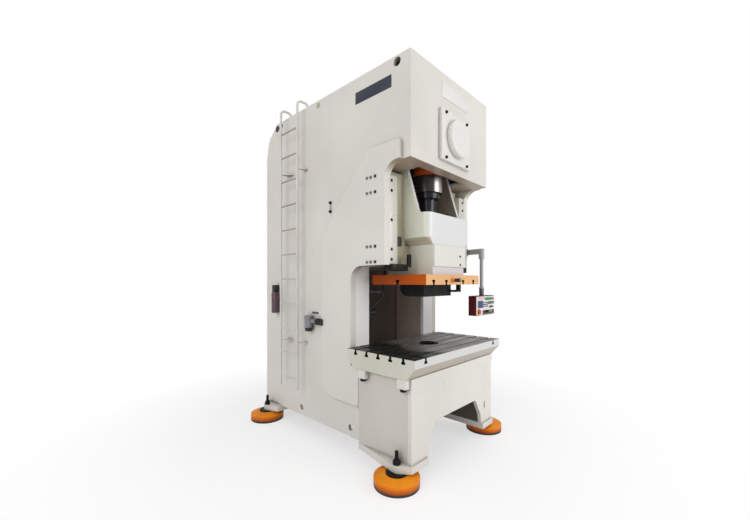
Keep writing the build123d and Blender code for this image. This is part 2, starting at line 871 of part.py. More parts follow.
def motor():
    rear = frame_rear_s - plate_thk
    front = rear - motor_length
    body = rod_y(0, front, rear, motor_z, motor_r)
    groove_front = front + motor_fin_end
    groove_rear = rear - motor_fin_end
    half_gap = motor_fin_gap / 2
    groove = block(motor_r - motor_fin_depth, motor_r + 1, groove_front, groove_rear, -half_gap, half_gap)
    for i in range(motor_fins):
        body -= Pos(0, 0, motor_z) * Rot(0, 360 / motor_fins * i, 0) * groove
    box_front = front + motor_box_front
    box_low_z = motor_z + motor_r - 2 * motor_fin_depth
    box_high_z = motor_z + motor_r + motor_box_rise
    body += block(-motor_box_half, motor_box_half, box_front, box_front + motor_box_length, box_low_z, box_high_z)
    return body - rod_y(0, rear - motor_shaft_depth - 1, rear + 1, motor_z, motor_shaft_r + run_gap)


def motor_pulley():
    shaft = rod_y(0, frame_rear_s - plate_thk - motor_shaft_depth, flywheel_s, motor_z, motor_shaft_r)
    wheel = rod_y(0, flywheel_s, flywheel_s + flywheel_width, motor_z, pulley_r)
    return shaft + wheel


def drive_belts():
    belts = []
    pitch = flywheel_width / belt_count
    for i in range(belt_count):
        s0 = flywheel_s + pitch * (i + 0.5) - belt_width / 2
        outer = belt_loop(seat_gap + belt_thk, s0, s0 + belt_width)
        inner = belt_loop(seat_gap, s0 - 1, s0 + belt_width + 1)
        belts.append(outer - inner)
    return belts


def belt_loop(rise, s0, s1):
    big = flywheel_r + rise
    small = pulley_r + rise
    lean = math.asin((big - small) / (motor_z - pinion_z))
    points = [
        (-big * math.cos(lean), pinion_z + big * math.sin(lean)),
        (big * math.cos(lean), pinion_z + big * math.sin(lean)),
        (small * math.cos(lean), motor_z + small * math.sin(lean)),
        (-small * math.cos(lean), motor_z + small * math.sin(lean)),
    ]
    return rod_y(0, s0, s1, pinion_z, big) + rod_y(0, s0, s1, motor_z, small) + front_slab(points, s0, s1)


def balance_cylinder():
    low_z = head_bottom_z + plate_thk
    tube = rod_z(-balance_x, balance_s, low_z, low_z + balance_length, balance_r)
    tube -= rod_z(-balance_x, balance_s, low_z + 20, low_z + balance_length - 20, balance_bore)
    return tube - rod_z(-balance_x, balance_s, low_z - 1, low_z + 30, balance_rod_r + run_gap)


def balance_rod():
    low_z = balance_foot_z
    piston_z = head_bottom_z + plate_thk + balance_length - 70
    rod = rod_z(-balance_x, balance_s, low_z, piston_z, balance_rod_r)
    return rod + rod_z(-balance_x, balance_s, piston_z, piston_z + 40, balance_bore - run_gap)


# Crank cover

def crank_cover():
    plate = block(-cover_half_x, cover_half_x, -cover_thk, 0, crank_z - cover_half_z, crank_z + cover_half_z)
    drum = rod_y(0, drum_front_s, -cover_thk, crank_z, drum_r)
    rim = drum.edges().filter_by(GeomType.CIRCLE).sort_by(Axis.Y)[0]
    return plate + fillet(rim, 12)


def cover_bolts():
    bolts = []
    for x in (-cover_bolt_x, cover_bolt_x):
        for z in (crank_z - cover_bolt_z, crank_z + cover_bolt_z):
            bolts.append(rod_y(x, -cover_thk - 16, -cover_thk, z, cover_bolt_r))
    return bolts


# Ladder

def ladder_rail(s):
    x = -half_width - ladder_standoff
    hook_x = x + ladder_hook
    hook_z = top_z + ladder_hook_rise
    y = depth(s)
    points = [(x, y, ladder_bottom_z), (x, y, hook_z), (hook_x, y, hook_z), (hook_x, y, top_z)]
    path = FilletPolyline(*points, radius=ladder_hook_rs)
    profile = Plane(origin=points[0], z_dir=(0, 0, 1)) * Circle(ladder_rail_r)
    rail = sweep(profile, path=path)
    for z in ladder_bracket_zs:
        rail += rod_x(x, -half_width, s, z, ladder_rung_r)
    return rail


def ladder():
    rear_s = ladder_front_s + ladder_width
    piece = ladder_rail(ladder_front_s) + ladder_rail(rear_s)
    for i in range(ladder_rungs):
        z = ladder_rung_z + ladder_rung_pitch * i
        piece += rod_y(-half_width - ladder_standoff, ladder_front_s, rear_s, z, ladder_rung_r)
    return piece


# Pendant

def pendant_bracket():
    plate_x = outer_half + bracket_thk
    plate = block(outer_half, plate_x, pivot_s - 52, pivot_s + 42, pivot_z - 95, pivot_z + 95)
    reach = arm_height / 2 + seat_gap
    for z in (pivot_z - reach - ear_thk, pivot_z + reach):
        plate += block(plate_x, pivot_x, pivot_s - pivot_hub_r, pivot_s + pivot_hub_r, z, z + ear_thk)
        plate += rod_z(pivot_x, pivot_s, z, z + ear_thk, pivot_hub_r)
    return plate + rod_z(pivot_x, pivot_s, pivot_z - reach - ear_thk, pivot_z + reach + ear_thk + 6, pivot_r)


def pendant_arm():
    dx = tube_x - pivot_x
    dy = tube_s - pivot_s
    length = math.hypot(dx, dy)
    angle = math.degrees(math.atan2(dy, dx))
    low_z = pivot_z - arm_height / 2
    bar = Box(length, arm_width, arm_height, align=(Align.MIN, Align.CENTER, Align.MIN))
    bar = Pos(pivot_x, depth(pivot_s), low_z) * Rot(0, 0, angle) * bar
    arm = bar + rod_z(pivot_x, pivot_s, low_z, low_z + arm_height, pivot_hub_r)
    arm += rod_z(tube_x, tube_s, low_z - elbow_drop, low_z + arm_height, elbow_r)
    arm -= rod_z(pivot_x, pivot_s, low_z - 1, low_z + arm_height + 1, pivot_r + run_gap)
    return arm


def pendant_tube():
    low_z = pivot_z - arm_height / 2 - elbow_drop
    tube = rod_z(tube_x, tube_s, tube_bottom_z, low_z, tube_r)
    flange = rod_z(tube_x, tube_s, tube_bottom_z, tube_bottom_z + 14, neck_r + 4)
    return tube + flange


def button_z():
    return box_top_z - box_height + button_row


def button_well(x, r):
    rear = panel_front() + panel_thk + stem_tail + button_travel + well_spare
    return rod_y(tube_x + x, panel_front() - 1, rear, button_z(), r + stem_gap)


def stems():
    wells = [(stop_x, stop_button_r * stem_share), (selector_x, button_r * stem_share)]
    return wells + [(x, button_r * stem_share) for x in button_xs]


def control_box():
    front = tube_s - box_depth / 2
    body = block(tube_x - box_half, tube_x + box_half, front, front + box_depth, box_top_z - box_height, box_top_z)
    body = fillet(body.edges().filter_by(Axis.Z), box_corner)
    for x, r in stems():
        body -= button_well(x, r)
    return body + rod_z(tube_x, tube_s, box_top_z, tube_bottom_z - run_gap, neck_r)


def control_panel():
    front = panel_front()
    low_z = box_top_z - box_height
    half = box_half - panel_margin
    panel = block(tube_x - half, tube_x + half, front, front + panel_thk, low_z + panel_margin, box_top_z - panel_margin)
    for x, r in stems():
        panel -= button_well(x, r)
    return panel


def panel_front():
    return tube_s - box_depth / 2 - panel_thk


def push_button(x, r, height):
    back = panel_front() - button_travel - cap_clear
    cap = rod_y(tube_x + x, back - height, back, button_z(), r)
    stem_end = panel_front() + panel_thk + stem_tail
    return cap + rod_y(tube_x + x, back, stem_end, button_z(), r * stem_share)


def mode_selector():
    front = panel_front()
    face = front - selector_thk
    x = tube_x + selector_x
    disc = rod_y(x, face, front - seat_gap, button_z(), button_r)
    stem = rod_y(x, front - seat_gap, front + panel_thk + stem_tail, button_z(), button_r * stem_share)
    grip_z = grip_length / 2
    grip = block(x - grip_half, x + grip_half, face - grip_out, face, button_z() - grip_z, button_z() + grip_z)
    return disc + stem + grip


# Side fittings

def air_filter():
    x0 = -half_width - 70
    body = block(x0, -half_width, air_s - 75, air_s + 75, air_z - 20, air_z + 75)
    return fillet(body.edges().filter_by(Axis.Z), 10)


def air_bowl():
    return rod_z(-half_width - 38, air_s, air_z - 95, air_z - 20, 30)


def regulator_knob():
    return rod_y(-half_width - 38, air_s - 125, air_s - 75 - seat_gap, air_z + 20, 32)


def air_hose():
    places = [(hose_top_x, throat_top_z), *hose_bends, (liner_width - inner_half, hose_end_z)]
    points = [(x, depth(hose_s), z) for x, z in places]
    path = Spline(*points, tangents=((0, 0, -1), (-1, 0, 0)))
    profile = Plane(origin=points[0], z_dir=(0, 0, -1)) * Circle(hose_r)
    return sweep(profile, path=path)


def blow_valve():
    wall_x = liner_width - inner_half
    return rod_x(wall_x, wall_x + valve_length, valve_s, valve_z, valve_r)


def grease_pump():
    return block(-half_width - 45, -half_width, pump_s - 60, pump_s + 60, pump_z - 40, pump_z + 45)


def grease_reservoir():
    return rod_z(-half_width - 45, pump_s, pump_z - 240, pump_z - 40, 44)


def oil_gauge():
    body = block(-half_width - 22, -half_width, gauge_s - 16, gauge_s + 16, gauge_z - 62, gauge_z + 62)
    return fillet(body.edges().filter_by(Axis.X), 14)


def main():
    os.makedirs("parts", exist_ok=True)
    save("side_plates", *both(side_plate()))
    save("cheeks", *both(cheek()))
    save("head_front", head_front())
    save("frame_plates", head_floor(), top_plate(), rear_plate(), slide_backing(), throat_ceiling())
    save("upright_liners", *both(upright_liner()))
    save("bed_front", bed_front())
    save("bed_sides", *both(bed_side()))
    save("bed_plates", *bed_plates())
    save("foot_plates", *four_feet(foot_plate()))
    save("foot_pads", *four_feet(foot_pad()))
    save("pad_rubbers", *four_feet(pad_rubber()))
    save("foot_studs", *four_feet(foot_stud()))
    save("rear_guard", rear_guard())
    save("bolster", bolster())
    lugs = [lug(lug_front_s), lug(lug_rear_s)]
    lug_bolts = [lug_bolt(lug_front_s), lug_bolt(lug_rear_s)]
    save("bolster_lugs", *lugs, *[mirrored(p) for p in lugs])
    bolts = gib_bolts() + lug_bolts
    save("cap_screws", *bolts, *[mirrored(p) for p in bolts], *cover_bolts())
    save("gib_columns", *both(gib_column()))
    save("front_gibs", *both(front_gib()))
    save("rear_gibs", *both(rear_gib()))
    save("side_liners", *both(side_liner()))
    screws = side_screws()
    save("side_screws", *screws, *[mirrored(p) for p in screws])
    save("stop_brackets", *both(stop_bracket()))
    save("slide_body", slide_body())
    save("slide_cover", slide_cover())
    save("slide_guides", *both(slide_guide()))
    save("slide_plate", slide_plate())
    save("tool_holder", tool_holder())
    save("connecting_rod", connecting_rod())
    save("rod_sleeve", rod_sleeve())
    save("lock_ring", lock_ring())
    save("adjusting_screw", adjusting_screw())
    save("crankshaft", crankshaft())
    save("bearing_housings", *bearing_housings())
    save("main_gear", main_gear())
    save("pinion_shaft", pinion_shaft())
    save("flywheel", flywheel())
    save("motor", motor())
    save("motor_pulley", motor_pulley())
    save("drive_belts", *drive_belts())
    save("balance_cylinders", *both(balance_cylinder()))
    save("balance_rods", *both(balance_rod()))
    save("crank_cover", crank_cover())
    save("ladder", ladder())
    save("pendant_bracket", pendant_bracket())
    save("pendant_arm", pendant_arm())
    save("pendant_tube", pendant_tube())
    save("control_box", control_box())
    save("control_panel", control_panel())
    save("emergency_stop", push_button(stop_x, stop_button_r, stop_height_out))
    for name, x in zip(("start_button", "inch_button", "reset_button"), button_xs):
        save(name, push_button(x, button_r, button_height))
    save("mode_selector", mode_selector())
    save("air_filter", air_filter())
    save("air_bowl", air_bowl())
    save("regulator_knob", regulator_knob())
    save("air_hose", air_hose(), blow_valve())
    save("grease_pump", grease_pump())
    save("grease_reservoir", grease_reservoir())
    save("oil_gauge", oil_gauge())


main()
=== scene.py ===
import bpy
import bmesh
import math
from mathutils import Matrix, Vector


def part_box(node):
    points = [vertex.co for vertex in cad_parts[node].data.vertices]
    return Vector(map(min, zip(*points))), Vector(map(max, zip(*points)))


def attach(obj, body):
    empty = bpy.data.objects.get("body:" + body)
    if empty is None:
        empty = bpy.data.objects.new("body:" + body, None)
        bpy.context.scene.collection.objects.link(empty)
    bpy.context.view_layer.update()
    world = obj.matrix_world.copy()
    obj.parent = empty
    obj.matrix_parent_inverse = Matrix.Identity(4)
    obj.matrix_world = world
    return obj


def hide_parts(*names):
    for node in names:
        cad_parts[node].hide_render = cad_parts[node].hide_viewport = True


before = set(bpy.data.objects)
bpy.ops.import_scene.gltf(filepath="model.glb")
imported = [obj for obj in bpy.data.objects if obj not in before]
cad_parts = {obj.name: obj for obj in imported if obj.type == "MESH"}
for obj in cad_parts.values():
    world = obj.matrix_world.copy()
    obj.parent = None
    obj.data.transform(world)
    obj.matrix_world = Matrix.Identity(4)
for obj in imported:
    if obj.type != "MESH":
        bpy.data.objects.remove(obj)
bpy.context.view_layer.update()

frontY = -1.185  # Y of the head's front, from which depths are counted
wall = 725  # the side plates' outer faces, to either side of the middle
skin = 0.0005  # metres between a face and the edge of a finish that covers it


def spot(x, s, z):  # millimetres across, back from the head's front and up, to metres in the frame
    return Vector((x / 1000, frontY + s / 1000, z / 1000))


def placed(name, data):  # a new object in the scene
    thing = bpy.data.objects.new(name, data)
    bpy.context.scene.collection.objects.link(thing)
    return thing


# camera, at the photograph's place
cameraLook = {"lens": 16.85, "sensor_width": 36, "shift_y": 0.0293, "clip_end": 200}
camera = placed("camera", bpy.data.cameras.new("camera"))
camera.location = (-3.187, -3.094, 1.779)
camera.rotation_euler = (math.radians(90), 0, math.radians(-46.43))
for key, value in cameraLook.items():
    setattr(camera.data, key, value)
bpy.context.scene.camera = camera
bpy.context.scene.view_settings.view_transform = "Standard"
print("camera placed")


# one output socket, with Python's operators standing for Math nodes
class Wire:
    def __init__(self, finish, socket):
        self.finish = finish
        self.socket = socket

    def work(self, operation, first, second):
        return self.finish.add("ShaderNodeMath", {"operation": operation}, {0: first, 1: second})

    def __add__(self, other):
        return self.work("ADD", self, other)

    def __radd__(self, other):
        return self.work("ADD", other, self)

    def __sub__(self, other):
        return self.work("SUBTRACT", self, other)

    def __rsub__(self, other):
        return self.work("SUBTRACT", other, self)

    def __mul__(self, other):
        return self.work("MULTIPLY", self, other)

    def __rmul__(self, other):
        return self.work("MULTIPLY", other, self)

    def __truediv__(self, other):
        return self.work("DIVIDE", self, other)

    def __rtruediv__(self, other):
        return self.work("DIVIDE", other, self)

    def __gt__(self, other):
        return self.work("GREATER_THAN", self, other)

    def __lt__(self, other):
        return self.work("LESS_THAN", self, other)


finishes = {}  # every finished material, by its name


# a material under construction; what is fixed goes on the shader's own sockets
class Finish:
    def __init__(self, name, **fixed):
        self.material = bpy.data.materials.new(name)
        self.material.use_nodes = True
        self.tree = self.material.node_tree
        self.shader = self.tree.nodes["Principled BSDF"]
        for key, value in fixed.items():
            self.feed(key.replace("_", " "), value)
        self.where = self.add("ShaderNodeTexCoord", out="Object")
        finishes[name] = self.material

    def add(self, kind, settings=None, sockets=None, out=0):
        node = self.tree.nodes.new(kind)
        for key, value in (settings or {}).items():
            if key == "stops":
                self.setStops(node.color_ramp, value)
            else:
                setattr(node, key, value)
        for key, value in (sockets or {}).items():
            self.join(node.inputs[key], value)
        return Wire(self, node.outputs[out])

    def setStops(self, ramp, stops):
        while len(ramp.elements) < len(stops):
            ramp.elements.new(0.5)
        for element, (place, colour) in zip(ramp.elements, stops):
            element.position = place
            element.color = (*colour, 1) if isinstance(colour, tuple) else (colour, colour, colour, 1)

    def join(self, socket, value):
        if isinstance(value, Wire):
            self.tree.links.new(value.socket, socket)
        elif isinstance(value, tuple) and len(value) == 3 and socket.type == "RGBA":
            socket.default_value = (*value, 1)
        else:
            socket.default_value = value

    def feed(self, name, value):
        self.join(self.shader.inputs[name], value)

    def noise(self, scale, detail=3.0, roughness=0.5, stretch=None):
        where = self.where
        if stretch:
            where = self.add("ShaderNodeMapping", None, {"Vector": where, "Scale": stretch})
        sockets = {"Vector": where, "Scale": scale, "Detail": detail, "Roughness": roughness}
        return self.add("ShaderNodeTexNoise", None, sockets)

    def ramp(self, value, *stops):
        return self.add("ShaderNodeValToRGB", {"stops": stops}, {"Fac": value})

    def mix(self, factor, first, second):
        return self.add("ShaderNodeMix", {"data_type": "RGBA"}, {0: factor, 6: first, 7: second}, out=2)

    def blend(self, field, first, second, low=0.35, high=0.7):  # from first to second as the field rises
        return self.mix(self.ramp(field, (low, 0.0), (high, 1.0)), first, second)

    def axis(self, name):
        return self.add("ShaderNodeSeparateXYZ", None, {0: self.where}, out=name)

    def facing(self, name):
        normal = self.add("ShaderNodeNewGeometry", out="Normal")
        return self.add("ShaderNodeSeparateXYZ", None, {0: normal}, out=name)

    def size(self, wire):
        return self.add("ShaderNodeMath", {"operation": "ABSOLUTE"}, {0: wire})

    def within(self, name, middle, reach):  # 1 where the place on an axis lies near the middle, else 0
        return self.size(self.axis(name) - middle) < reach

    def bump(self, height, distance, strength=1.0, edge=0.0):
        sockets = {"Height": height, "Distance": distance, "Strength": strength}
        if edge:  # softened corners, as on welded and painted plate
            sockets["Normal"] = self.add("ShaderNodeBevel", {"samples": 4}, {"Radius": edge})
        self.feed("Normal", self.add("ShaderNodeBump", None, sockets))

    def surface(self, colour, field, low, high):  # its colour, and its roughness as a field rises
        self.feed("Base Color", colour)
        self.feed("Roughness", self.ramp(field, (0.3, low), (0.7, high)))

    def peel(self, share, strength, edge):  # sprayed enamel's fine peel over a slower sag
        self.bump(self.noise(190, 2) * share + self.noise(22, 2) * (1 - share), 0.0006, strength, edge)


shades = {  # linear colours, as the photograph shows them under plain light
    # some of these colours hold painted shade and painted light, as said where each is used
    "frame": (0.70, 0.675, 0.63), "cover": (0.74, 0.725, 0.70), "slide": (0.72, 0.72, 0.66),
    "bedSides": (0.60, 0.57, 0.515), "orange": (0.72, 0.17, 0.008), "rod": (0.62, 0.10, 0.02),
    "gib": (0.62, 0.60, 0.55), "way": (0.46, 0.43, 0.31), "throat": (0.27, 0.215, 0.19),
    "arm": (0.36, 0.37, 0.38), "maroon": (0.15, 0.004, 0.011), "panel": (0.72, 0.71, 0.70),
    "black": (0.005, 0.005, 0.006), "holder": (0.006, 0.005, 0.005), "iron": (0.10, 0.10, 0.10),
    "motor": (0.10, 0.13, 0.16), "navy": (0.018, 0.022, 0.045), "paintedUnderShade": (0.30, 0.21, 0.14),
    "bedInsideShade": (0.065, 0.057, 0.036), "linerPaintedLight": (0.88, 0.865, 0.84), "dust": (0.42, 0.36, 0.29),
    "creaseShadeAndGrime": (0.33, 0.295, 0.24), "steel": (0.55, 0.55, 0.54), "screw": (0.05, 0.05, 0.055),
    "rubber": (0.014, 0.014, 0.014), "red": (0.72, 0.055, 0.01), "green": (0.01, 0.20, 0.06),
    "yellow": (0.55, 0.34, 0.02), "blue": (0.012, 0.05, 0.25), "plastic": (0.014, 0.014, 0.015),
    "filter": (0.26, 0.26, 0.29), "jar": (0.095, 0.045, 0.062), "glass": (0.48, 0.47, 0.38),
    "key": (0.10, 0.115, 0.17), "rose": (0.66, 0.50, 0.48),
}


def paint(name, shade, rough=0.38, tone=0.05, dust=0.25, edge=0.004, coat=0.15, under=None, creaseShadeReach=0.0):
    # sprayed enamel with slow drift, peel, rubbed patches and floor dust; undersides may get a painted
    #     # brown shade, and a painted shade darkens each face within the given distance of a corner
    f = Finish(name, Coat_Weight=coat, Coat_Roughness=0.25)
    drift = f.noise(0.9, 4)
    patch = f.noise(5.5, 6, 0.6)
    runs = f.noise(3.0, 4, 0.6, (4, 4, 0.35))
    colour = shades[shade]
    deep = tuple(c * (1 - 2.2 * tone) for c in colour)
    dusty = tuple(0.72 * c + 0.28 * d for c, d in zip(colour, shades["dust"]))
    base = f.blend(drift, deep, colour, high=0.68)
    # painted shade: faces that look down are turned towards a brown
    if under:
        turned = f.ramp(f.facing("Z") * -1, (0.35, 0.0), (0.9, 1.0))
        base = f.mix(turned, base, f.mix(f.ramp(drift, (0.35, 0.85), (0.68, 1.0)), colour, shades[under]))
    # painted shade: ambient occlusion darkens each face near corners and creases
    if creaseShadeReach:
        near = f.add("ShaderNodeAmbientOcclusion", {"samples": 8}, {"Distance": creaseShadeReach}, out="AO")
        base = f.mix(f.ramp(near, (0.45, 0.62), (0.88, 0.0)), base, shades["creaseShadeAndGrime"])
    low = f.ramp(f.axis("Z"), (0.0, 1.0), (0.9, 0.0))
    soil = f.ramp(patch * 0.6 + runs * 0.4, (0.52, 0.0), (0.72, 1.0)) * (low * dust + 0.12)
    f.surface(f.mix(soil, base, dusty), patch, rough - 0.06, rough + 0.12)
    f.peel(0.35, 0.55, edge)


def turnedSteel(name, shade, rough=0.22, rings=900.0):
    # lathe-turned surface with close rings and a thin oil film
    f = Finish(name, Metallic=0.95)
    cut = f.noise(1.0, 2, 0.5, (30, 30, rings))
    film = f.noise(7.0, 4)
    colour = shades[shade]
    dark = tuple(c * 0.6 for c in colour)
    f.surface(f.blend(cut * 0.5 + film * 0.5, dark, colour, high=0.65), film, rough, rough + 0.18)
    f.bump(cut, 0.0002, 0.4, 0.001)


def castMetal(name, shade, rough=0.55, metal=0.5, grain=0.5, shine=0.5, lift=0.02):
    # as-cast or black-oxide steel: grain, and patches paler from handling
    f = Finish(name, Metallic=metal, Specular_IOR_Level=shine)
    fine = f.noise(320, 3)
    worn = f.noise(14, 5, 0.6)
    colour = shades[shade]
    pale = tuple(min(1.0, c * 1.7 + lift) for c in colour)
    f.surface(f.mix(f.ramp(worn, (0.48, 0.0), (0.78, 0.75)), colour, pale), worn, rough + 0.1, rough - 0.15)
    f.bump(fine * 0.6 + worn * 0.4, 0.0005, grain, 0.0015)


def rubber(name):
    # matt black rubber with bloom and scuffs
    f = Finish(name, Sheen_Weight=0.15)
    bloom = f.noise(11, 5, 0.6)
    fine = f.noise(420, 2)
    colour = shades["rubber"]
    grey = tuple(c * 2.4 + 0.03 for c in colour)
    f.surface(f.mix(f.ramp(bloom, (0.45, 0.0), (0.8, 0.8)), colour, grey), bloom, 0.62, 0.85)
    f.bump(fine, 0.0003, 0.4)


def plastic(name, shade, rough=0.3, coat=0.2):
    # moulded plastic with faint flow and finger marks
    f = Finish(name, Coat_Weight=coat, IOR=1.49)
    flow = f.noise(18, 4)
    fine = f.noise(600, 2)
    colour = shades[shade]
    dark = tuple(c * 0.82 for c in colour)
    f.surface(f.blend(flow, dark, colour, 0.3), flow, rough, rough + 0.15)
    f.bump(fine * 0.5 + flow * 0.5, 0.0002, 0.3)


linerShape = {"inside": 781, "seam": 1196}  # depths where the dark panels begin and meet


def throatPaint(name):
    # liner: pale face as painted light, and two brown-grey panels of painted shade inside the throat
    f = Finish(name, Coat_Weight=0.1)
    inside = f.axis("Y") > frontY + linerShape["inside"] / 1000
    nearer = f.axis("Y") < frontY + linerShape["seam"] / 1000
    drift = f.noise(1.6, 5, 0.6)
    smear = f.noise(3.0, 6, 0.65, (1, 2.4, 0.5))
    colour = shades["linerPaintedLight"]
    inner = shades["throat"]
    # painted light: the liner's colour is set paler than the frame paint, against the shade in the throat
    outer = f.blend(drift, tuple(c * 0.9 for c in colour), colour)
    # painted shade: the throat's inside faces turn dark brown-grey, paler on the nearer panel
    dark = f.blend(smear, inner, tuple(c * 1.35 for c in inner), 0.4)
    throatShadePanels = f.mix(nearer * 0.85, dark, tuple(c * 1.65 for c in inner))
    f.surface(f.mix(inside, outer, throatShadePanels), smear, 0.36, 0.58)
    f.bump(f.noise(190, 2) * 0.4 + drift * 0.6, 0.0006, 0.5, 0.004)


paint("framePaint", "frame", under="paintedUnderShade", creaseShadeReach=0.07)
paint("coverPaint", "cover", 0.32, 0.03, 0.1, creaseShadeReach=0.05)
paint("slidePaint", "slide", 0.3, 0.04, 0.1, 0.005, 0.3)
paint("orangePaint", "orange", 0.28, 0.07, 0.2, 0.003, 0.1)
paint("wayPaint", "way", 0.34, 0.08, 0.1, 0.002, 0.2)
# painted shade: the bed's inside, seen through the arch, takes a near-black moss colour
paint("bedInside", "bedInsideShade", 0.5, 0.1, 0.3, 0.003, 0.0)
paint("rodPaint", "rod", 0.3, 0.07, 0.1, 0.003, 0.3)
paint("armPaint", "arm", 0.4, 0.04, 0.1, 0.002)
paint("panelSheet", "panel", 0.35, 0.02, 0.05, 0.001)
paint("navyPlate", "navy", 0.4, 0.06, 0.1, 0.001)
paint("motorPaint", "motor", 0.4, 0.06, 0.3, 0.002)
throatPaint("linerPaint")
paint("gibPaint", "gib", 0.3, 0.04, 0.1, 0.002, 0.2)
turnedSteel("turned", "steel")
turnedSteel("screwSteel", "screw", 0.16, 420.0)
castMetal("castIron", "iron")
# painted shade: the bed's sides take a darker copy of the frame paint
paint("bedPaint", "bedSides", 0.38, 0.06, 0.3, creaseShadeReach=0.07)
castMetal("blackSteel", "black", 0.5, 0.1, 0.35, 0.2, 0.004)
castMetal("holderSteel", "holder", 0.45, 0.1, 0.3, 0.2, 0.006)
rubber("rubber")
plastic("redPlastic", "red")
plastic("greenPlastic", "green")
plastic("yellowPlastic", "yellow")
plastic("bluePlastic", "blue")
plastic("blackPlastic", "plastic", 0.4, 0.1)
castMetal("filterMetal", "filter", 0.4, 0.4, 0.3)
plastic("reservoir", "jar", 0.22, 0.3)
plastic("gaugeGlass", "glass", 0.12, 0.6)
plastic("keyGrey", "key", 0.4, 0.1)
plastic("rosePlastic", "rose", 0.4, 0.1)


def slidePlateFinish():
    # orange enamel; paler on front faces as painted light, painted shade towards the rear and in the tee
    # slots
    look = {
        "slotDeep": 49.5, "slot": (0.012, 0.011, 0.010), "enamel": ((0.42, 0.066, 0.0), (0.52, 0.095, 0.0)),
        "rearShade": (0.30, 0.045, 0.002), "front": (0.76, 0.45, 0.215),
    }
    low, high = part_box("slide_plate")
    f = Finish("slidePlateFinish", Specular_IOR_Level=0.2)
    acrossX = f.within("X", 0, high[0] - skin)
    acrossY = f.within("Y", (low[1] + high[1]) / 2, (high[1] - low[1]) / 2 - skin)
    # painted shade: near-black in the tee slots
    slot = acrossX * acrossY * (f.axis("Z") < low[2] + look["slotDeep"] / 1000)
    base = f.blend(f.noise(1.4, 4), *look["enamel"], high=0.68)
    # painted shade: darker towards the rear
    side = f.mix(f.ramp(f.axis("Y") + 1.2, (0.1, 0.0), (0.55, 1.0)), base, look["rearShade"])
    # painted light: front faces paler
    front = f.ramp(f.facing("Y") * -1, (0.3, 0.0), (0.9, 0.9))
    f.surface(f.mix(slot, f.mix(front, side, look["front"]), look["slot"]), f.noise(6, 5), 0.28, 0.46)
    f.peel(0.4, 0.5, 0.002)


def sleeveFinish():
    # dark turned sleeve, a painted reflection on its front, and a band of the rod's own colour at its head
    look = {
        "steel": ((0.055, 0.053, 0.052), (0.13, 0.127, 0.125)), "bright": (0.50, 0.48, 0.47), "band": 0.045,
    }
    f = Finish("sleeveFinish")
    cut = f.noise(1.0, 2, 0.5, (30, 30, 260))
    film = f.noise(7.0, 4)
    steel = f.blend(cut * 0.5 + film * 0.5, *look["steel"], high=0.65)
    band = f.axis("Z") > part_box("rod_sleeve")[1][2] - look["band"]
    # painted reflection: faces towards the front turn bright
    steel = f.blend(f.facing("Y") * -1, steel, look["bright"], 0.86, 0.97)
    f.surface(f.mix(band, steel, shades["rod"]), film, 0.22, 0.40)
    f.feed("Metallic", (1 - band) * 0.9)
    f.bump(cut, 0.0002, 0.4, 0.001)


def boxFinish():
    # maroon box under a grey neck
    look = {
        "neckOver": 0.0085, "deepMaroon": (0.075, 0.002, 0.005),
        "neck": ((0.11, 0.11, 0.105), (0.17, 0.17, 0.165)),
    }
    f = Finish("boxFinish", Specular_IOR_Level=0.3)
    drift = f.noise(6.0, 4)
    neck = f.axis("Z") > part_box("control_panel")[1][2] + look["neckOver"]
    red = f.blend(drift, look["deepMaroon"], shades["maroon"], high=0.68)
    f.surface(f.mix(neck, red, f.blend(drift, *look["neck"], high=0.68)), drift, 0.40, 0.55)
    f.bump(f.noise(260, 2), 0.0004, 0.4, 0.002)


def padFinish():
    # orange enamel; tops golden as painted light, and sides darker towards the floor as painted shade
    look = {
        "side": ((0.30, 0.045, 0.002), (0.84, 0.22, 0.0)), "top": ((0.70, 0.19, 0.0), (0.88, 0.31, 0.003)),
        "worn": (0.16, 0.04, 0.01),
    }
    low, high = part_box("foot_pads")
    f = Finish("padFinish", Specular_IOR_Level=0.25)
    drift = f.noise(4.0, 5, 0.6)
    chips = f.noise(26, 4, 0.6)
    # painted light: faces that look up turn golden
    top = f.ramp(f.facing("Z"), (0.35, 0.0), (0.9, 1.0))
    height = (f.axis("Z") - low[2]) / (high[2] - low[2])
    # painted shade: sides darken towards the floor
    side = f.blend(height + drift * 0.5, *look["side"], 0.25, 1.0)
    paintedLitTop = f.blend(drift, *look["top"], high=0.68)
    worn = f.ramp(chips * 0.5 + drift * 0.5, (0.6, 0.0), (0.72, 0.7))
    f.surface(f.mix(worn, f.mix(top, side, paintedLitTop), look["worn"]), chips, 0.32, 0.52)
    f.bump(chips * 0.4 + drift * 0.6, 0.0012, 0.5, 0.006)


def ladderFinish():
    # painted rails, and rungs brown with painted shade, most of all the upper ones
    look = {
        "rail": 0.030, "paint": ((0.58, 0.57, 0.53), (0.66, 0.65, 0.61)),
        "rungShade": ((0.30, 0.25, 0.20), (0.40, 0.34, 0.29)),
    }
    low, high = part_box("ladder")
    f = Finish("ladderFinish")
    drift = f.noise(4.0, 4)
    rung = f.within("Y", (low[1] + high[1]) / 2, (high[1] - low[1]) / 2 - look["rail"])
    rung = rung * (f.axis("X") < low[0] + look["rail"]) * f.ramp(f.axis("Z") / 4, (0.35, 0.15), (0.62, 1.0))
    # painted shade: rungs turn brown, more so higher up
    rungShade = f.blend(drift, *look["rungShade"])
    f.surface(f.mix(rung, f.blend(drift, *look["paint"]), rungShade), drift, 0.36, 0.55)
    f.bump(f.noise(160, 2), 0.0003, 0.4)


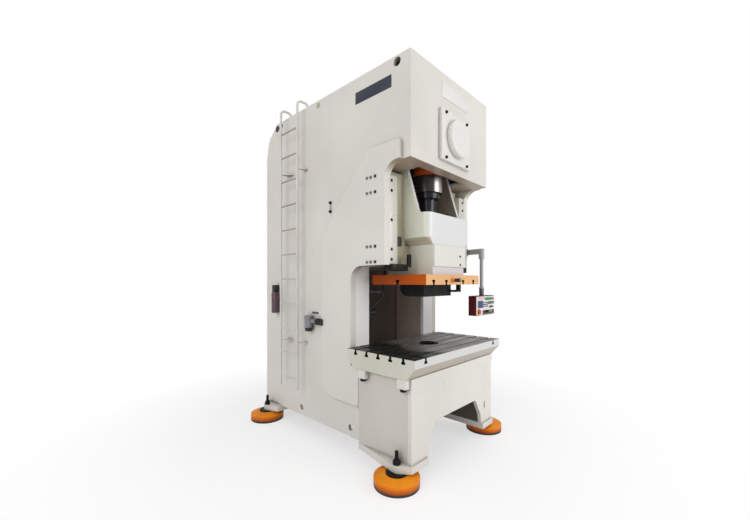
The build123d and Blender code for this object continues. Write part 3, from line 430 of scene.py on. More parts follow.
def sideScrewFinish():
    # the front screw of each row black, the two behind it painted over
    look = {
        "front": ((0.012, 0.012, 0.013), (0.03, 0.03, 0.032)), "line": 420,
        "behind": ((0.10, 0.10, 0.10), (0.26, 0.255, 0.24)),
    }
    f = Finish("sideScrewFinish", Metallic=0.2)
    creaseShadeAndGrime = f.noise(40, 4, 0.6)
    behind = f.axis("Y") > frontY + look["line"] / 1000
    black = f.blend(creaseShadeAndGrime, *look["front"])
    f.surface(f.mix(behind, black, f.blend(creaseShadeAndGrime, *look["behind"])), creaseShadeAndGrime, 0.36, 0.6)
    f.bump(creaseShadeAndGrime, 0.0004, 0.4, 0.001)


teeShape = {"neck": 13, "foot": 23, "shoulder": 27, "deep": 49}
bolsterShape = {
    "half": 820, "front": -117, "rear": 729, "top": 1112, "edge": 76, "taper": 90, "seat": 928,
    "slots": [6, 156, 306, 456, 606], "cross": [-658, 658], "hole": 120, "holeS": 330,
}


def bolsterFinish():
    # painted flanks, ground top with an oil film towards the left, tee slots dark with painted shade at
    # their ends
    shape = bolsterShape
    look = {
        "steel": ((0.19, 0.172, 0.16), (0.50, 0.475, 0.455)), "oil": (0.011, 0.012, 0.009),
        "flank": ((0.55, 0.555, 0.47), (0.62, 0.62, 0.54)), "front": (0.61, 0.605, 0.595),
        "taper": (0.42, 0.375, 0.31), "slotEndShade": (0.008, 0.008, 0.008), "slot": (0.20, 0.185, 0.17),
    }
    low = spot(-shape["half"], shape["front"], shape["seat"])
    high = spot(shape["half"], shape["rear"], shape["top"])
    f = Finish("bolsterFinish", Specular_IOR_Level=0.2)
    top = (f.facing("Z") > 0.9) * (f.axis("Z") > high[2] - 3 * skin)
    lines = f.noise(60, 3, 0.6, (0.4, 14, 1))
    bands = f.noise(5, 2, 0.5, (0.25, 5, 1))
    film = f.noise(2.6, 5, 0.62)
    steel = f.blend(lines * 0.45 + bands * 0.55, *look["steel"], 0.38, 0.62)
    wet = f.ramp(film * 0.7 - f.axis("X") * 0.42 + f.axis("Y") * 0.20, (0.17, 0.0), (0.36, 0.98))
    flank = f.blend(f.noise(1.2, 4), *look["flank"])
    # painted light: front faces paler
    pale = f.mix(f.ramp(f.facing("Y") * -1, (0.3, 0.0), (0.9, 1.0)), flank, look["front"])
    # painted shade: faces that look down under the tapers turn brown
    pale = f.mix(f.ramp(f.facing("Z") * -1, (0.1, 0.0), (0.4, 0.85)), pale, look["taper"])
    acrossX = f.within("X", 0, high[0] - skin)
    acrossY = f.within("Y", (low[1] + high[1]) / 2, (high[1] - low[1]) / 2 - skin)
    deep = f.axis("Z") > high[2] - teeShape["deep"] / 1000 - skin
    slot = acrossX * acrossY * deep * (1 - top)
    inward = f.ramp((high[0] - f.size(f.axis("X"))) * 4, (0.10, 0.0), (0.45, 1.0))
    reach = shape["hole"] / 1000 + 2 * skin
    hole = f.within("X", 0, reach) * f.within("Y", spot(0, shape["holeS"], 0)[1], reach)
    # painted shade: black at the slots' ends and in the bore
    inSlot = f.mix(inward * (1 - hole) * (1 - wet), look["slotEndShade"], look["slot"])
    f.feed("Base Color", f.mix(slot, f.mix(top, pale, f.mix(wet, steel, look["oil"])), inSlot))
    f.feed("Metallic", top * 0.75 * (1 - wet))
    f.feed("Roughness", f.ramp(film * 0.5 + lines * 0.5, (0.35, 0.3), (0.65, 0.52)))
    f.bump(lines * top, 0.0004, 0.5, 0.002)


slideShape = {
    "neck": 298, "head": 400, "front": 54, "headFront": 34, "rear": 640, "neckZ": 2150, "headZ": 2225,
    "top": 3010, "wall": 40, "floor": 2190, "lip": 2460, "radius": 70, "corner": 8, "rearTop": 2868,
    "lipBack": 157, "topBack": 325, "notchRadius": 60, "wallRear": 585,
    "keys": (250, 40), "keyRear": 695, "keyZs": (2250, 2300),
}


def slideFinish():
    # cream enamel; painted shade on left faces, undersides and inside the open head, painted light on front
    shape = slideShape
    look = {
        "shade": (0.66, 0.66, 0.60), "left": (0.60, 0.62, 0.50), "front": (0.68, 0.675, 0.68),
        "under": (0.52, 0.46, 0.35), "inside": ((0.28, 0.23, 0.18), (0.40, 0.34, 0.27)),
    }
    f = Finish("slideFinish", Coat_Weight=0.25, Coat_Roughness=0.25)
    drift = f.noise(1.0, 4)
    patch = f.noise(5.5, 6, 0.6)
    outer = f.blend(drift, look["shade"], shades["slide"], high=0.68)
    # painted shade: left faces darker and greener
    outer = f.mix(f.ramp(f.facing("X") * -1, (0.2, 0.0), (0.9, 0.8)), outer, look["left"])
    # painted light: front faces a neutral tone
    outer = f.mix(f.ramp(f.facing("Y") * -1, (0.5, 0.0), (0.95, 0.9)), outer, look["front"])
    # painted shade: undersides browner
    outer = f.mix(f.ramp(f.facing("Z") * -1, (0.2, 0.0), (0.7, 0.9)), outer, look["under"])
    # painted shade: the open head's inside warmer and darker
    between = f.within("X", 0, (shape["head"] - shape["wall"]) / 1000 + skin)
    behind = f.axis("Y") > frontY + (shape["headFront"] + shape["wall"]) / 1000 - skin
    inside = between * behind * (f.axis("Z") > shape["floor"] / 1000 - skin)
    f.surface(f.mix(inside, outer, f.blend(patch, *look["inside"])), patch, 0.26, 0.44)
    f.peel(0.35, 0.55, 0.005)


slidePlateFinish()
sleeveFinish()
boxFinish()
padFinish()
ladderFinish()
sideScrewFinish()
bolsterFinish()
slideFinish()
nodeFinish = {
    "framePaint": "side_plates cheeks head_front frame_plates bed_front rear_guard",
    "bedPaint": "bed_sides", "coverPaint": "crank_cover", "slidePaint": "slide_cover",
    "linerPaint": "upright_liners", "rodPaint": "connecting_rod",
    "wayPaint": "gib_columns rear_gibs slide_guides side_liners",
    "screwSteel": "adjusting_screw lock_ring", "turned": "crankshaft pinion_shaft balance_rods",
    "castIron": "bearing_housings main_gear flywheel motor_pulley", "holderSteel": "tool_holder",
    "blackSteel": "cap_screws stop_brackets foot_studs", "rubber": "pad_rubbers drive_belts air_hose",
    "motorPaint": "motor balance_cylinders", "armPaint": "pendant_bracket pendant_arm pendant_tube",
    "panelSheet": "control_panel", "redPlastic": "emergency_stop", "greenPlastic": "start_button",
    "yellowPlastic": "inch_button", "bluePlastic": "reset_button", "filterMetal": "air_filter",
    "blackPlastic": "mode_selector air_bowl regulator_knob grease_pump", "reservoir": "grease_reservoir",
    "slidePlateFinish": "slide_plate", "sleeveFinish": "rod_sleeve", "boxFinish": "control_box",
    "padFinish": "foot_pads", "ladderFinish": "ladder", "sideScrewFinish": "side_screws",
}
for finish, names in nodeFinish.items():
    for name in names.split():
        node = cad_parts[name]
        if not node.material_slots:
            node.data.materials.append(finishes[finish])
        for place in node.material_slots:
            place.material = finishes[finish]
print("finishes made")


# mesh helpers; places in millimetres as in spot, radii and lathed outlines in metres
def steadyBox(bm, xs, ss, zs, radius=0.0):
    low, high = (spot(*corner) for corner in zip(xs, ss, zs))
    made = bmesh.ops.create_cube(bm, size=1.0)["verts"]
    size = [b - a for a, b in zip(low, high)]
    middle = Vector([(a + b) / 2 for a, b in zip(low, high)])
    for v in made:
        v.co = Vector([c * d for c, d in zip(v.co, size)])
    if radius:
        edges = list({e for v in made for e in v.link_edges})
        bevel = bmesh.ops.bevel(bm, geom=edges, offset=radius, segments=2, affect="EDGES", profile=0.5)
        made = list(set(bevel["verts"]))
    bmesh.ops.translate(bm, verts=made, vec=middle)


def bothSides(bm, shape, radius=0.0):
    # the same block on the left and on the right
    for side in (-1, 1):
        steadyBox(bm, sorted(side * x for x in shape["xs"]), shape["ss"], shape["zs"], radius)


def lathe(bm, outline, base, axis, steps=32):
    # outline is pairs of distance along the axis from base, and radius
    axis = Vector(axis).normalized()
    side = axis.orthogonal().normalized()
    other = axis.cross(side)
    rings = []
    for along, radius in outline:
        ring = []
        for i in range(steps):
            angle = 2 * math.pi * i / steps
            out = side * math.cos(angle) + other * math.sin(angle)
            ring.append(bm.verts.new(base + axis * along + out * radius))
        rings.append(ring)
    stack(bm, rings)


def stack(bm, rings):
    # a closed skin over rings that lie one above the other
    for low, high in zip(rings, rings[1:]):
        for i in range(len(low)):
            j = (i + 1) % len(low)
            bm.faces.new((low[i], low[j], high[j], high[i]))
    bm.faces.new(list(reversed(rings[0])))
    bm.faces.new(rings[-1])


def ribbed(radius, start, pitch, count, depth, marks):
    # a lathed outline's grooves; marks are the ends of each one's floor and its end
    made = []
    for k in range(count):
        here = start + k * pitch
        first, second, end = (here + mark for mark in marks)
        made += [(here, radius), (first, radius - depth), (second, radius - depth), (end, radius)]
    return made


def rounded(outline, radii, steps=6):
    # an outline with its corners turned to arcs
    made = []
    for i, (corner, radius) in enumerate(zip(outline, radii)):
        here = Vector(corner)
        if not radius:
            made.append(here)
            continue
        before = (Vector(outline[i - 1]) - here).normalized()
        after = (Vector(outline[(i + 1) % len(outline)]) - here).normalized()
        half = before.angle(after) / 2
        centre = here + (before + after).normalized() * (radius / math.sin(half))
        first = here + before * (radius / math.tan(half)) - centre
        last = here + after * (radius / math.tan(half)) - centre
        sweep = first.angle(last)
        for k in range(steps + 1):
            t = k / steps
            mixed = first * math.sin((1 - t) * sweep) + last * math.sin(t * sweep)
            made.append(centre + mixed / math.sin(sweep))
    return made


def slab(bm, outline, low, high, along="x"):
    # an outline extruded from low to high: (s, z) along x, (x, z) along s or (x, s) along z
    places = {
        "x": lambda a, b, d: spot(d, a, b),
        "s": lambda a, b, d: spot(a, d, b),
        "z": lambda a, b, d: spot(a, b, d),
    }
    rings = [[bm.verts.new(places[along](a, b, d)) for a, b in outline] for d in (low, high)]
    for i in range(len(outline)):
        j = (i + 1) % len(outline)
        bm.faces.new((rings[0][i], rings[0][j], rings[1][j], rings[1][i]))
    bm.faces.new(rings[0])
    bm.faces.new(list(reversed(rings[1])))


def plain(bm, xs, ss, zs):
    slab(bm, [(ss[0], zs[0]), (ss[1], zs[0]), (ss[1], zs[1]), (ss[0], zs[1])], *xs)


def carve(bm, cutters):
    # what is left of one mesh when another is taken from it
    made = []
    for source in (bm, cutters):
        bmesh.ops.recalc_face_normals(source, faces=source.faces)
        mesh = bpy.data.meshes.new("carve")
        source.to_mesh(mesh)
        source.free()
        made.append(placed("carve", mesh))
    cut = made[0].modifiers.new("cut", "BOOLEAN")
    cut.operation = "DIFFERENCE"
    cut.solver = "EXACT"
    cut.use_self = True
    cut.object = made[1]
    left = bmesh.new()
    left.from_object(made[0], bpy.context.evaluated_depsgraph_get())
    for thing in made:
        bpy.data.objects.remove(thing)
    return left


def tee(centre, top):
    neck, foot, shoulder, deep = teeShape.values()
    half = [(neck, 1), (neck, -shoulder), (foot, -shoulder), (foot, -deep)]
    left = [(centre - a, top + z) for a, z in half]
    return left + [(centre + a, top + z) for a, z in reversed(half)]


def capScrew(bm, base, axis, radius, height):
    r, h = radius / 1000, height / 1000
    outline = [(-0.002, r), (h - 0.0015, r), (h, r - 0.0015), (h, r * 0.55), (h - 0.003, r * 0.5)]
    lathe(bm, outline, base, axis, 24)


def finishPiece(name, bm, finish, slotName, body="frame", smooth=35):
    bmesh.ops.recalc_face_normals(bm, faces=bm.faces)
    mesh = bpy.data.meshes.new(name)
    bm.to_mesh(mesh)
    bm.free()
    piece = placed(name, mesh)
    mesh.materials.append(finishes[finish])
    if smooth:
        mesh.shade_smooth()
        mesh.set_sharp_from_angle(angle=math.radians(smooth))
    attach(piece, body)
    return piece


# bolster with its true flanks: plain at the sides, tapered to front and rear
shape = bolsterShape
half, front, rear, top, seat = (shape[key] for key in ("half", "front", "rear", "top", "seat"))
taper = shape["taper"]
edgeZ = top - shape["edge"]
profile = [
    (front, top), (rear, top), (rear, edgeZ), (rear - taper, seat), (front + taper, seat), (front, edgeZ),
]
bm = bmesh.new()
slab(bm, profile, -half, half)
cutters = bmesh.new()
for s in shape["slots"]:
    slab(cutters, tee(s, top), -half - 1, half + 1)
for x in shape["cross"]:
    slab(cutters, tee(x, top), front - 1, rear + 1, "s")
radius = shape["hole"] / 1000
bore = [(0, radius), ((top - seat + 2) / 1000, radius)]
lathe(cutters, bore, spot(0, shape["holeS"], seat - 1), (0, 0, 1), 48)
piece = finishPiece("bolsterPlate", carve(bm, cutters), "bolsterFinish", "ground_steel")
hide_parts("bolster")

# lugs that clamp it, and every cap screw at the front
lug = {"xs": (765, 827), "ss": (25, 523), "half": 50, "zs": (846, 928)}
bm = bmesh.new()
for s in lug["ss"]:
    bothSides(bm, {**lug, "ss": (s - lug["half"], s + lug["half"])}, 0.005)
piece = finishPiece("lugBlocks", bm, "framePaint", "frame_paint")
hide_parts("bolster_lugs")

screws = {  # place across, radius and height of each kind, and the faces that they stand on
    "lug": (796, 29, 26), "gib": (662, 15, 4), "gibZs": (1995, 2091, 2370, 2649, 2745), "gibFace": 275,
    "cover": (200, 14, 16), "coverZs": (3008, 3452), "coverFace": -35,
}
bm = bmesh.new()
for side in (-1, 1):
    x, radius, height = screws["lug"]
    for s in lug["ss"]:
        capScrew(bm, spot(side * x, s, lug["zs"][0]), (0, 0, -1), radius, height)
    for kind in ("gib", "cover"):
        x, radius, height = screws[kind]
        for z in screws[kind + "Zs"]:
            capScrew(bm, spot(side * x, screws[kind + "Face"], z), (0, -1, 0), radius, height)
piece = finishPiece("capScrews", bm, "blackSteel", "black_steel")
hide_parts("cap_screws")

# front gibs, up to their full height
gib = {"xs": (578, 690), "ss": (275, 343), "zs": (1950, 2795)}
bm = bmesh.new()
bothSides(bm, gib, 0.002)
piece = finishPiece("gibPlates", bm, "gibPaint", "way_steel")
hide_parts("front_gibs")

# die height stops under the gibs, each a base, an arm and an upright finger
stop = [
    {"xs": (458, 690), "ss": (235, 338), "zs": (1888, 1950)},
    {"xs": (405, 458), "ss": (235, 259), "zs": (1926, 1950)},
    {"xs": (405, 453), "ss": (235, 259), "zs": (1950, 2052)},
]
bm = bmesh.new()
for bar in stop:
    bothSides(bm, bar, 0.003)
piece = finishPiece("heightStops", bm, "blackSteel", "black_steel")
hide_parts("stop_brackets")

# stroke switch beside the left one, and the rod that works it
switch = {
    "body": ((-578, -495), (285, 325), (2130, 2225), 0.005),
    "rod": ((-575, -567), (300, 308), (2000, 2310), 0.002),
}
bm = bmesh.new()
for block in switch.values():
    steadyBox(bm, *block)
finishPiece("strokeSwitch", bm, "blackPlastic", "black_plastic")

# bed's inside: top, two ribs with their windows, and back
bed = {
    "half": 690, "rear": 740, "tops": (868, 928), "ribs": (530, 560), "low": 178, "hole": 150, "holeS": 330,
    "window": [(140, 330), (140, 620), (600, 620), (600, 330)], "windowRadius": 80, "backS": 700,
    "backZ": 473,
}
under, over = bed["tops"]
bm = bmesh.new()
plain(bm, (-bed["half"], bed["half"]), (0, bed["rear"]), bed["tops"])
cutters = bmesh.new()
radius = bed["hole"] / 1000
bore = [(0, radius), ((over - under + 4) / 1000, radius)]
lathe(cutters, bore, spot(0, bed["holeS"], under - 2), (0, 0, 1), 40)
bm = carve(bm, cutters)
ribs = bmesh.new()
cutters = bmesh.new()
for side in (-1, 1):
    x0, x1 = sorted(side * x for x in bed["ribs"])
    plain(ribs, (x0, x1), (0, bed["rear"]), (bed["low"], under))
    slab(cutters, rounded(bed["window"], [bed["windowRadius"]] * 4), x0 - 1, x1 + 1)
ribs = carve(ribs, cutters)
mesh = bpy.data.meshes.new("ribs")
ribs.to_mesh(mesh)
ribs.free()
bm.from_mesh(mesh)
bpy.data.meshes.remove(mesh)
inner = bed["ribs"][0]
plain(bm, (-inner, inner), (bed["backS"], bed["rear"]), (bed["backZ"], under))
piece = finishPiece("bedInside", bm, "bedInside", "frame_paint")
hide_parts("bed_plates")

# weld between the bed's sides and the cheeks, and painted plugs in the bed's front
weld = {"xs": (725, 759), "ss": (606, 629), "zs": (535, 928)}
bm = bmesh.new()
bothSides(bm, weld)
finishPiece("bedWeld", bm, "framePaint", "frame_paint", smooth=0)
bedPlug = {
    "xs": (-243, 243), "s": -31, "zs": (737, 807),
    "outline": [(0, 0.010), (0.0092, 0.010), (0.0096, 0.009)],
}
bm = bmesh.new()
for x in bedPlug["xs"]:
    for z in bedPlug["zs"]:
        lathe(bm, bedPlug["outline"], spot(x, bedPlug["s"], z), (0, -1, 0), 20)
finishPiece("bedPlugs", bm, "bedPaint", "frame_paint")

# foot plates with a sloping nose; the rear ones are mirrored and shorter
foot = {
    "zs": (115, 178), "nose": [(530, -57), (775, -57), (857, 55), (857, 105)], "front": (755, 634),
    "rear": (790, 274), "radii": [0, 12, 40, 40, 10, 0], "mirror": 2370,
}
bm = bmesh.new()
for side in (-1, 1):
    for end in ("front", "rear"):
        tail, length = foot[end]
        outline = foot["nose"] + [(tail, length), (foot["nose"][0][0], length)]
        turned = [(side * x, s if end == "front" else foot["mirror"] - s) for x, s in outline]
        slab(bm, rounded(turned, foot["radii"]), *foot["zs"], "z")
piece = finishPiece("footPlates", bm, "framePaint", "frame_paint")
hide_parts("foot_plates")
print("bed and ways made")


# slide: neck, flared head with round front corners, and side walls that rise through the head's floor
def slideRing(bm, half, front, rear, radius, z):
    corners = [(-half, front), (half, front), (half, rear), (-half, rear)]
    return [bm.verts.new(spot(x, s, z)) for x, s in rounded(corners, [radius, radius, 4, 4])]


shape = slideShape
half, front, rear, top, thick = (shape[key] for key in ("head", "headFront", "rear", "top", "wall"))
neck = (shape["neck"], shape["front"], rear, shape["corner"])
bm = bmesh.new()
stack(bm, [
    slideRing(bm, *neck, round(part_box("slide_body")[0][2] * 1000)),
    slideRing(bm, *neck, shape["neckZ"]),
    slideRing(bm, half, front, rear, shape["radius"] - 6, shape["headZ"] - 8),
    slideRing(bm, half, front, rear, shape["radius"], shape["headZ"] + 6),
    slideRing(bm, half, front, rear, shape["radius"], top),
])
cutters = bmesh.new()
plain(cutters, (thick - half, half - thick), (front + thick, rear - thick), (shape["floor"], top + 1))
bm = carve(bm, cutters)
lip = shape["lip"]
notch = [(front - 1, lip), (shape["lipBack"], lip), (shape["topBack"], top + 1), (front - 1, top + 1)]
cutters = bmesh.new()
slab(cutters, rounded(notch, [0, shape["notchRadius"], 0, 0]), -half - 1, half + 1)
bm = carve(bm, cutters)
cutters = bmesh.new()
plain(cutters, (-half - 1, half + 1), (shape["wallRear"], rear + 1), (shape["rearTop"], top + 1))
bm = carve(bm, cutters)
seat = {"radius": 0.175, "height": 0.200, "ball": 0.1305, "centre": 0.140, "s": 330}
cup = [(0, seat["radius"]), (seat["height"], seat["radius"])]
for k in range(9):  # the ball's socket, from its rim down
    turn = math.radians(27.5 - k * 14.5)
    cup.append((seat["centre"] + seat["ball"] * math.sin(turn), max(0.001, seat["ball"] * math.cos(turn))))
lathe(bm, cup, spot(0, seat["s"], shape["floor"]), (0, 0, 1), 40)
keyX, keyHalf = shape["keys"]
for x in (-keyX, keyX):
    plain(bm, (x - keyHalf, x + keyHalf), (rear, shape["keyRear"]), shape["keyZs"])
piece = finishPiece("slideHead", bm, "slideFinish", "slide_paint", "slide")
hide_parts("slide_body")

slideScrew = {"x": 185, "zs": (1962, 2051), "radius": 12, "height": 5}
lipBlock = {"xs": (-50, 25), "ss": (44, 64), "zs": (2456, 2482)}
bm = bmesh.new()
for z in slideScrew["zs"]:
    capScrew(bm, spot(slideScrew["x"], front, z), (0, -1, 0), slideScrew["radius"], slideScrew["height"])
steadyBox(bm, *lipBlock.values(), 0.004)
finishPiece("slideScrews", bm, "blackSteel", "black_steel", "slide")

# tool holder under the slide plate, with its knock-out bar to the right
holder = {
    "xs": (-230, 287), "ss": (210, 528), "radius": 90, "shank": 0.030, "shankS": 330,
    "bar": [  # ranges across, back and above the holder's underside
        ((286, 311), (150, 230), (40, 64)), ((287, 407), (150, 190), (40, 64)),
        ((363, 407), (150, 190), (64, 126)),
    ],
}
low, high = (round(corner[2] * 1000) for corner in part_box("tool_holder"))
front, rear = holder["ss"]
profile = [(front, low), (front, high), (rear, high), (rear, low)]
bm = bmesh.new()
slab(bm, rounded(profile, [0, 0, 0, holder["radius"]]), *holder["xs"])
cutters = bmesh.new()
bore = [(0, holder["shank"]), (0.2, holder["shank"])]
lathe(cutters, bore, spot(0, holder["shankS"], low - 20), (0, 0, 1))
bm = carve(bm, cutters)
for xs, ss, zs in holder["bar"]:
    steadyBox(bm, xs, ss, [low + z for z in zs], 0.002)
piece = finishPiece("holderBlock", bm, "holderSteel", "black_steel", "slide")
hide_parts("tool_holder")
print("slide made")


# left side: pump and its reservoir
pump = {"xs": (-795, -725), "ss": (2157, 2223), "zs": (1649, 1740)}
bm = bmesh.new()
steadyBox(bm, *pump.values(), 0.006)
piece = finishPiece("greasePump", bm, "blackPlastic", "black_plastic")
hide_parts("grease_pump")
jar = {
    "base": (-775, 2174, 1380),
    "outline": [
        (0, 0.044), (0.006, 0.048), (0.05, 0.048), (0.054, 0.0465), (0.06, 0.048), (0.25, 0.048),
        (0.269, 0.040),
    ],
}
bm = bmesh.new()
lathe(bm, jar["outline"], spot(*jar["base"]), (0, 0, 1))
piece = finishPiece("greaseJar", bm, "reservoir", "reservoir_plastic")
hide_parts("grease_reservoir")

# sight gauge: two nuts, and the tube with the oil's level between them
gauge = {
    "s": 1103, "zs": (2551, 2648), "x": -737, "tube": 0.005, "level": [(0.014, 0.009), (0.032, 0.009)],
    "nut": [(0, 0.017), (0.005, 0.017), (0.007, 0.014), (0.022, 0.014), (0.024, 0.011)],
}
bm = bmesh.new()
for z in gauge["zs"]:
    lathe(bm, gauge["nut"], spot(-wall, gauge["s"], z), (-1, 0, 0), 20)
piece = finishPiece("gaugeNuts", bm, "blackSteel", "black_steel")
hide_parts("oil_gauge")
low, high = gauge["zs"]
base = spot(gauge["x"], gauge["s"], low)
bm = bmesh.new()
lathe(bm, [(0, gauge["tube"]), ((high - low) / 1000, gauge["tube"])], base, (0, 0, 1), 16)
lathe(bm, gauge["level"], base, (0, 0, 1), 16)
finishPiece("gaugeTube", bm, "gaugeGlass", "gauge_plastic")

# air unit: ribbed body with its fittings, black cup and ribbed knob
air = {
    "x": -763, "bodyX": -775, "s": 1445, "z": 1330, "low": 1253, "cupLow": 1208, "radius": 0.048,
    "knobRadius": 0.038, "neckS": 1410, "knobS": 1305,
    "neck": [(0, 0.026), (0.064, 0.026), (0.064, 0.020), (0.106, 0.020)],
    "blocks": [((-763, -725), (1415, 1475), (1290, 1360)), ((-776, -725), (1478, 1539), (1348, 1383))],
}
r = air["radius"]
body = [(0, r - 0.008), (0.006, r)] + ribbed(r, 0.012, 0.017, 7, 0.004, (0.001, 0.005, 0.006))
body += [(0.134, r), (0.140, r - 0.010)]
bm = bmesh.new()
lathe(bm, body, spot(air["bodyX"], air["s"], air["low"]), (0, 0, 1), 36)
for xs, ss, zs in air["blocks"]:
    steadyBox(bm, xs, ss, zs, 0.004)
lathe(bm, air["neck"], spot(air["x"], air["neckS"], air["z"]), (0, -1, 0), 24)
piece = finishPiece("airUnit", bm, "filterMetal", "filter_metal")
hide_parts("air_filter")
cup = [(0, 0.022), (0.006, 0.036), (0.012, r - 0.005), (0.045, r - 0.005)]
bm = bmesh.new()
lathe(bm, cup, spot(air["bodyX"], air["s"], air["cupLow"]), (0, 0, 1))
piece = finishPiece("airCup", bm, "blackPlastic", "black_plastic")
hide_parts("air_bowl")
r = air["knobRadius"]
grip = [(0, r - 0.008), (0.004, r)] + ribbed(r, 0.008, 0.016, 6, 0.005, (0.002, 0.007, 0.009))
grip += [(0.106, r), (0.112, r - 0.008)]
bm = bmesh.new()
lathe(bm, grip, spot(air["x"], air["knobS"], air["z"]), (0, -1, 0), 28)
piece = finishPiece("airKnob", bm, "blackPlastic", "black_plastic", "regulator_knob")
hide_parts("regulator_knob")

# ladder brackets: tapered tabs from each rail to the side plate
bracket = {"zs": (1056, 3106), "thick": 8, "out": -835, "rails": ((1584, 1526), (1938, 1804))}
bm = bmesh.new()
for z in bracket["zs"]:
    for rail, root in bracket["rails"]:
        tab = [(bracket["out"], rail - 12), (bracket["out"], rail + 4), (-wall, rail + 14), (-wall, root)]
        slab(bm, tab, z, z + bracket["thick"], "z")
finishPiece("ladderBrackets", bm, "framePaint", "frame_paint")

# plugs in the side plate, and below them a dark sheet as the painted shade of a slot
plugs = {
    "guardPlug": (2202, 3790, [(0, 0.042), (0.002, 0.042), (0.003, 0.040)], "navyPlate", "black_steel"),
    "sidePlug": (1328, 3796, [(0, 0.032), (0.001, 0.032)], "wayPaint", "way_steel"),
}
for name, (s, z, outline, finish, slotName) in plugs.items():
    bm = bmesh.new()
    lathe(bm, outline, spot(-wall, s, z), (-1, 0, 0))
    finishPiece(name, bm, finish, slotName)
sideSlotShade = {
    "corners": [(1321, 1411), (1439, 1411), (1439, 1435), (1321, 1435)], "radius": 11.9, "thick": 2,
}
bm = bmesh.new()
slab(bm, rounded(sideSlotShade["corners"], [sideSlotShade["radius"]] * 4), -wall - sideSlotShade["thick"], -wall)
finishPiece("sideSlotShade", bm, "castIron", "cast_iron")
print("side fittings made")


# air line to the blow valve, a short hose with both ends in the frame
airLine = {
    "points": [(-150, 1940), (-166, 1737), (-218, 1607), (-301, 1536), (-382, 1484), (-495, 1452)],
    "depth": 820, "radius": 0.012, "length": 0.66,
}
lineCurve = bpy.data.curves.new("airLine", "CURVE")
lineCurve.dimensions = "3D"
lineCurve.bevel_depth = airLine["radius"]
lineCurve.bevel_resolution = 4
lineCurve.use_fill_caps = True
spline = lineCurve.splines.new("NURBS")
spline.points.add(len(airLine["points"]) - 1)
for point, (x, z) in zip(spline.points, airLine["points"]):
    point.co = (*spot(x, airLine["depth"], z), 1)
spline.order_u = 3
spline.use_endpoint_u = True
spline.resolution_u = 12
line = placed("airLine", lineCurve)
lineCurve.materials.append(finishes["rubber"])
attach(line, "frame")
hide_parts("air_hose")
spot(-150, 820, 1940)

# blow valve: a stepped barrel with its lever
blowValve = {
    "start": (-495, 868, 1435), "lever": ((-405, -365), (845, 890), (1396, 1412)),
    "outline": [
        (0, 0.026), (0.02, 0.026), (0.02, 0.033), (0.09, 0.033), (0.094, 0.029), (0.10, 0.029),
        (0.104, 0.033), (0.21, 0.033), (0.222, 0.030), (0.23, 0.022), (0.243, 0.020),
    ],
}
bm = bmesh.new()
lathe(bm, blowValve["outline"], spot(*blowValve["start"]), (1, 0, 0))
steadyBox(bm, *blowValve["lever"], 0.003)
piece = finishPiece("blowValve", bm, "blackPlastic", "black_plastic")
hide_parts("air_hose")
print("air line made")


# bare plates with rivets at their corners, one on the head's front and one on its left side
plates = {
    "headPlate": {
        "ranges": ((-222, 275), (-3, 0), (3614, 3765)), "insets": (18, 0, 18), "edge": 0.0012, "steps": 16,
        "rivet": [(0, 0.005), (0.001, 0.005), (0.002, 0.0035), (0.0025, 0.001)], "out": (0, -1, 0),
        "look": ("coverPaint", "cover_paint"),
    },
    "sidePlate": {
        "ranges": ((-wall - 2, -wall), (222, 708), (3587, 3706)), "insets": (0, 12, 12), "edge": 0.0008,
        "rivet": [(0, 0.004), (0.001, 0.004), (0.002, 0.0015)], "out": (-1, 0, 0), "steps": 14,
        "look": ("navyPlate", "black_steel"),
    },
}
for name, plate in plates.items():
    bm = bmesh.new()
    steadyBox(bm, *plate["ranges"], plate["edge"])
    ends = zip(plate["ranges"], plate["insets"])
    xs, ss, zs = ((low + inset, high - inset) if inset else (low,) for (low, high), inset in ends)
    for x in xs:
        for s in ss:
            for z in zs:
                lathe(bm, plate["rivet"], spot(x, s, z), plate["out"], plate["steps"])
    finishPiece(name, bm, *plate["look"])
print("bare plates made")


# control panel: each piece's finish, slot and height, then its blocks: left and lower edge, width, height,
# columns, rows and their pitches
panelFront = 34.5
single = (1, 1, 0, 0)
panelPieces = {
    "lampStrip": ("greenPlastic", "green_plastic", 5, [(776, 1561, 184, 31, *single)]),
    "lampEnd": ("redPlastic", "red_plastic", 5, [
        (963, 1562, 38, 25, *single), (775, 1392, 16, 9, *single), (893, 1388, 16, 9, *single),
    ]),
    "roseStrip": ("rosePlastic", "panel_sheet", 2, [(600, 1568, 166, 33, *single)]),
    "keypadFrame": ("keyGrey", "blue_plastic", 3, [(587, 1473, 131, 84, *single)]),
    "keypadKeys": ("bluePlastic", "blue_plastic", 6, [(593, 1478, 19, 14, 5, 4, 25, 20)]),
    "middleKeys": ("keyGrey", "black_plastic", 4, [(727, 1481, 21, 13, 4, 3, 31, 22)]),
    "panelKeys": ("blackPlastic", "black_plastic", 5, [
        (842, 1514, 20, 12, 6, 2, 28, 17), (879, 1469, 59, 22, *single), (947, 1472, 15, 15, 2, 1, 22, 0),
    ]),
    "buttonBezels": ("blackPlastic", "black_plastic", 1.5, [(711, 1396, 297, 46, *single)]),
}
for name, (finish, slotName, out, groups) in panelPieces.items():
    bm = bmesh.new()
    for left, low, width, height, columns, rows, stepX, stepZ in groups:
        for column in range(columns):
            for row in range(rows):
                x = left + column * stepX
                z = low + row * stepZ
                steadyBox(bm, (x, x + width), (panelFront - out, panelFront), (z, z + height), skin)
    finishPiece(name, bm, finish, slotName, "control_box")
stopRing = {"x": 613, "z": 1429, "outline": [(0, 0.040), (0.001, 0.040), (0.0015, 0.038)]}
bm = bmesh.new()
lathe(bm, stopRing["outline"], spot(stopRing["x"], panelFront, stopRing["z"]), (0, -1, 0), 36)
finishPiece("stopRing", bm, "yellowPlastic", "yellow_plastic", "control_box")
print("control panel made")


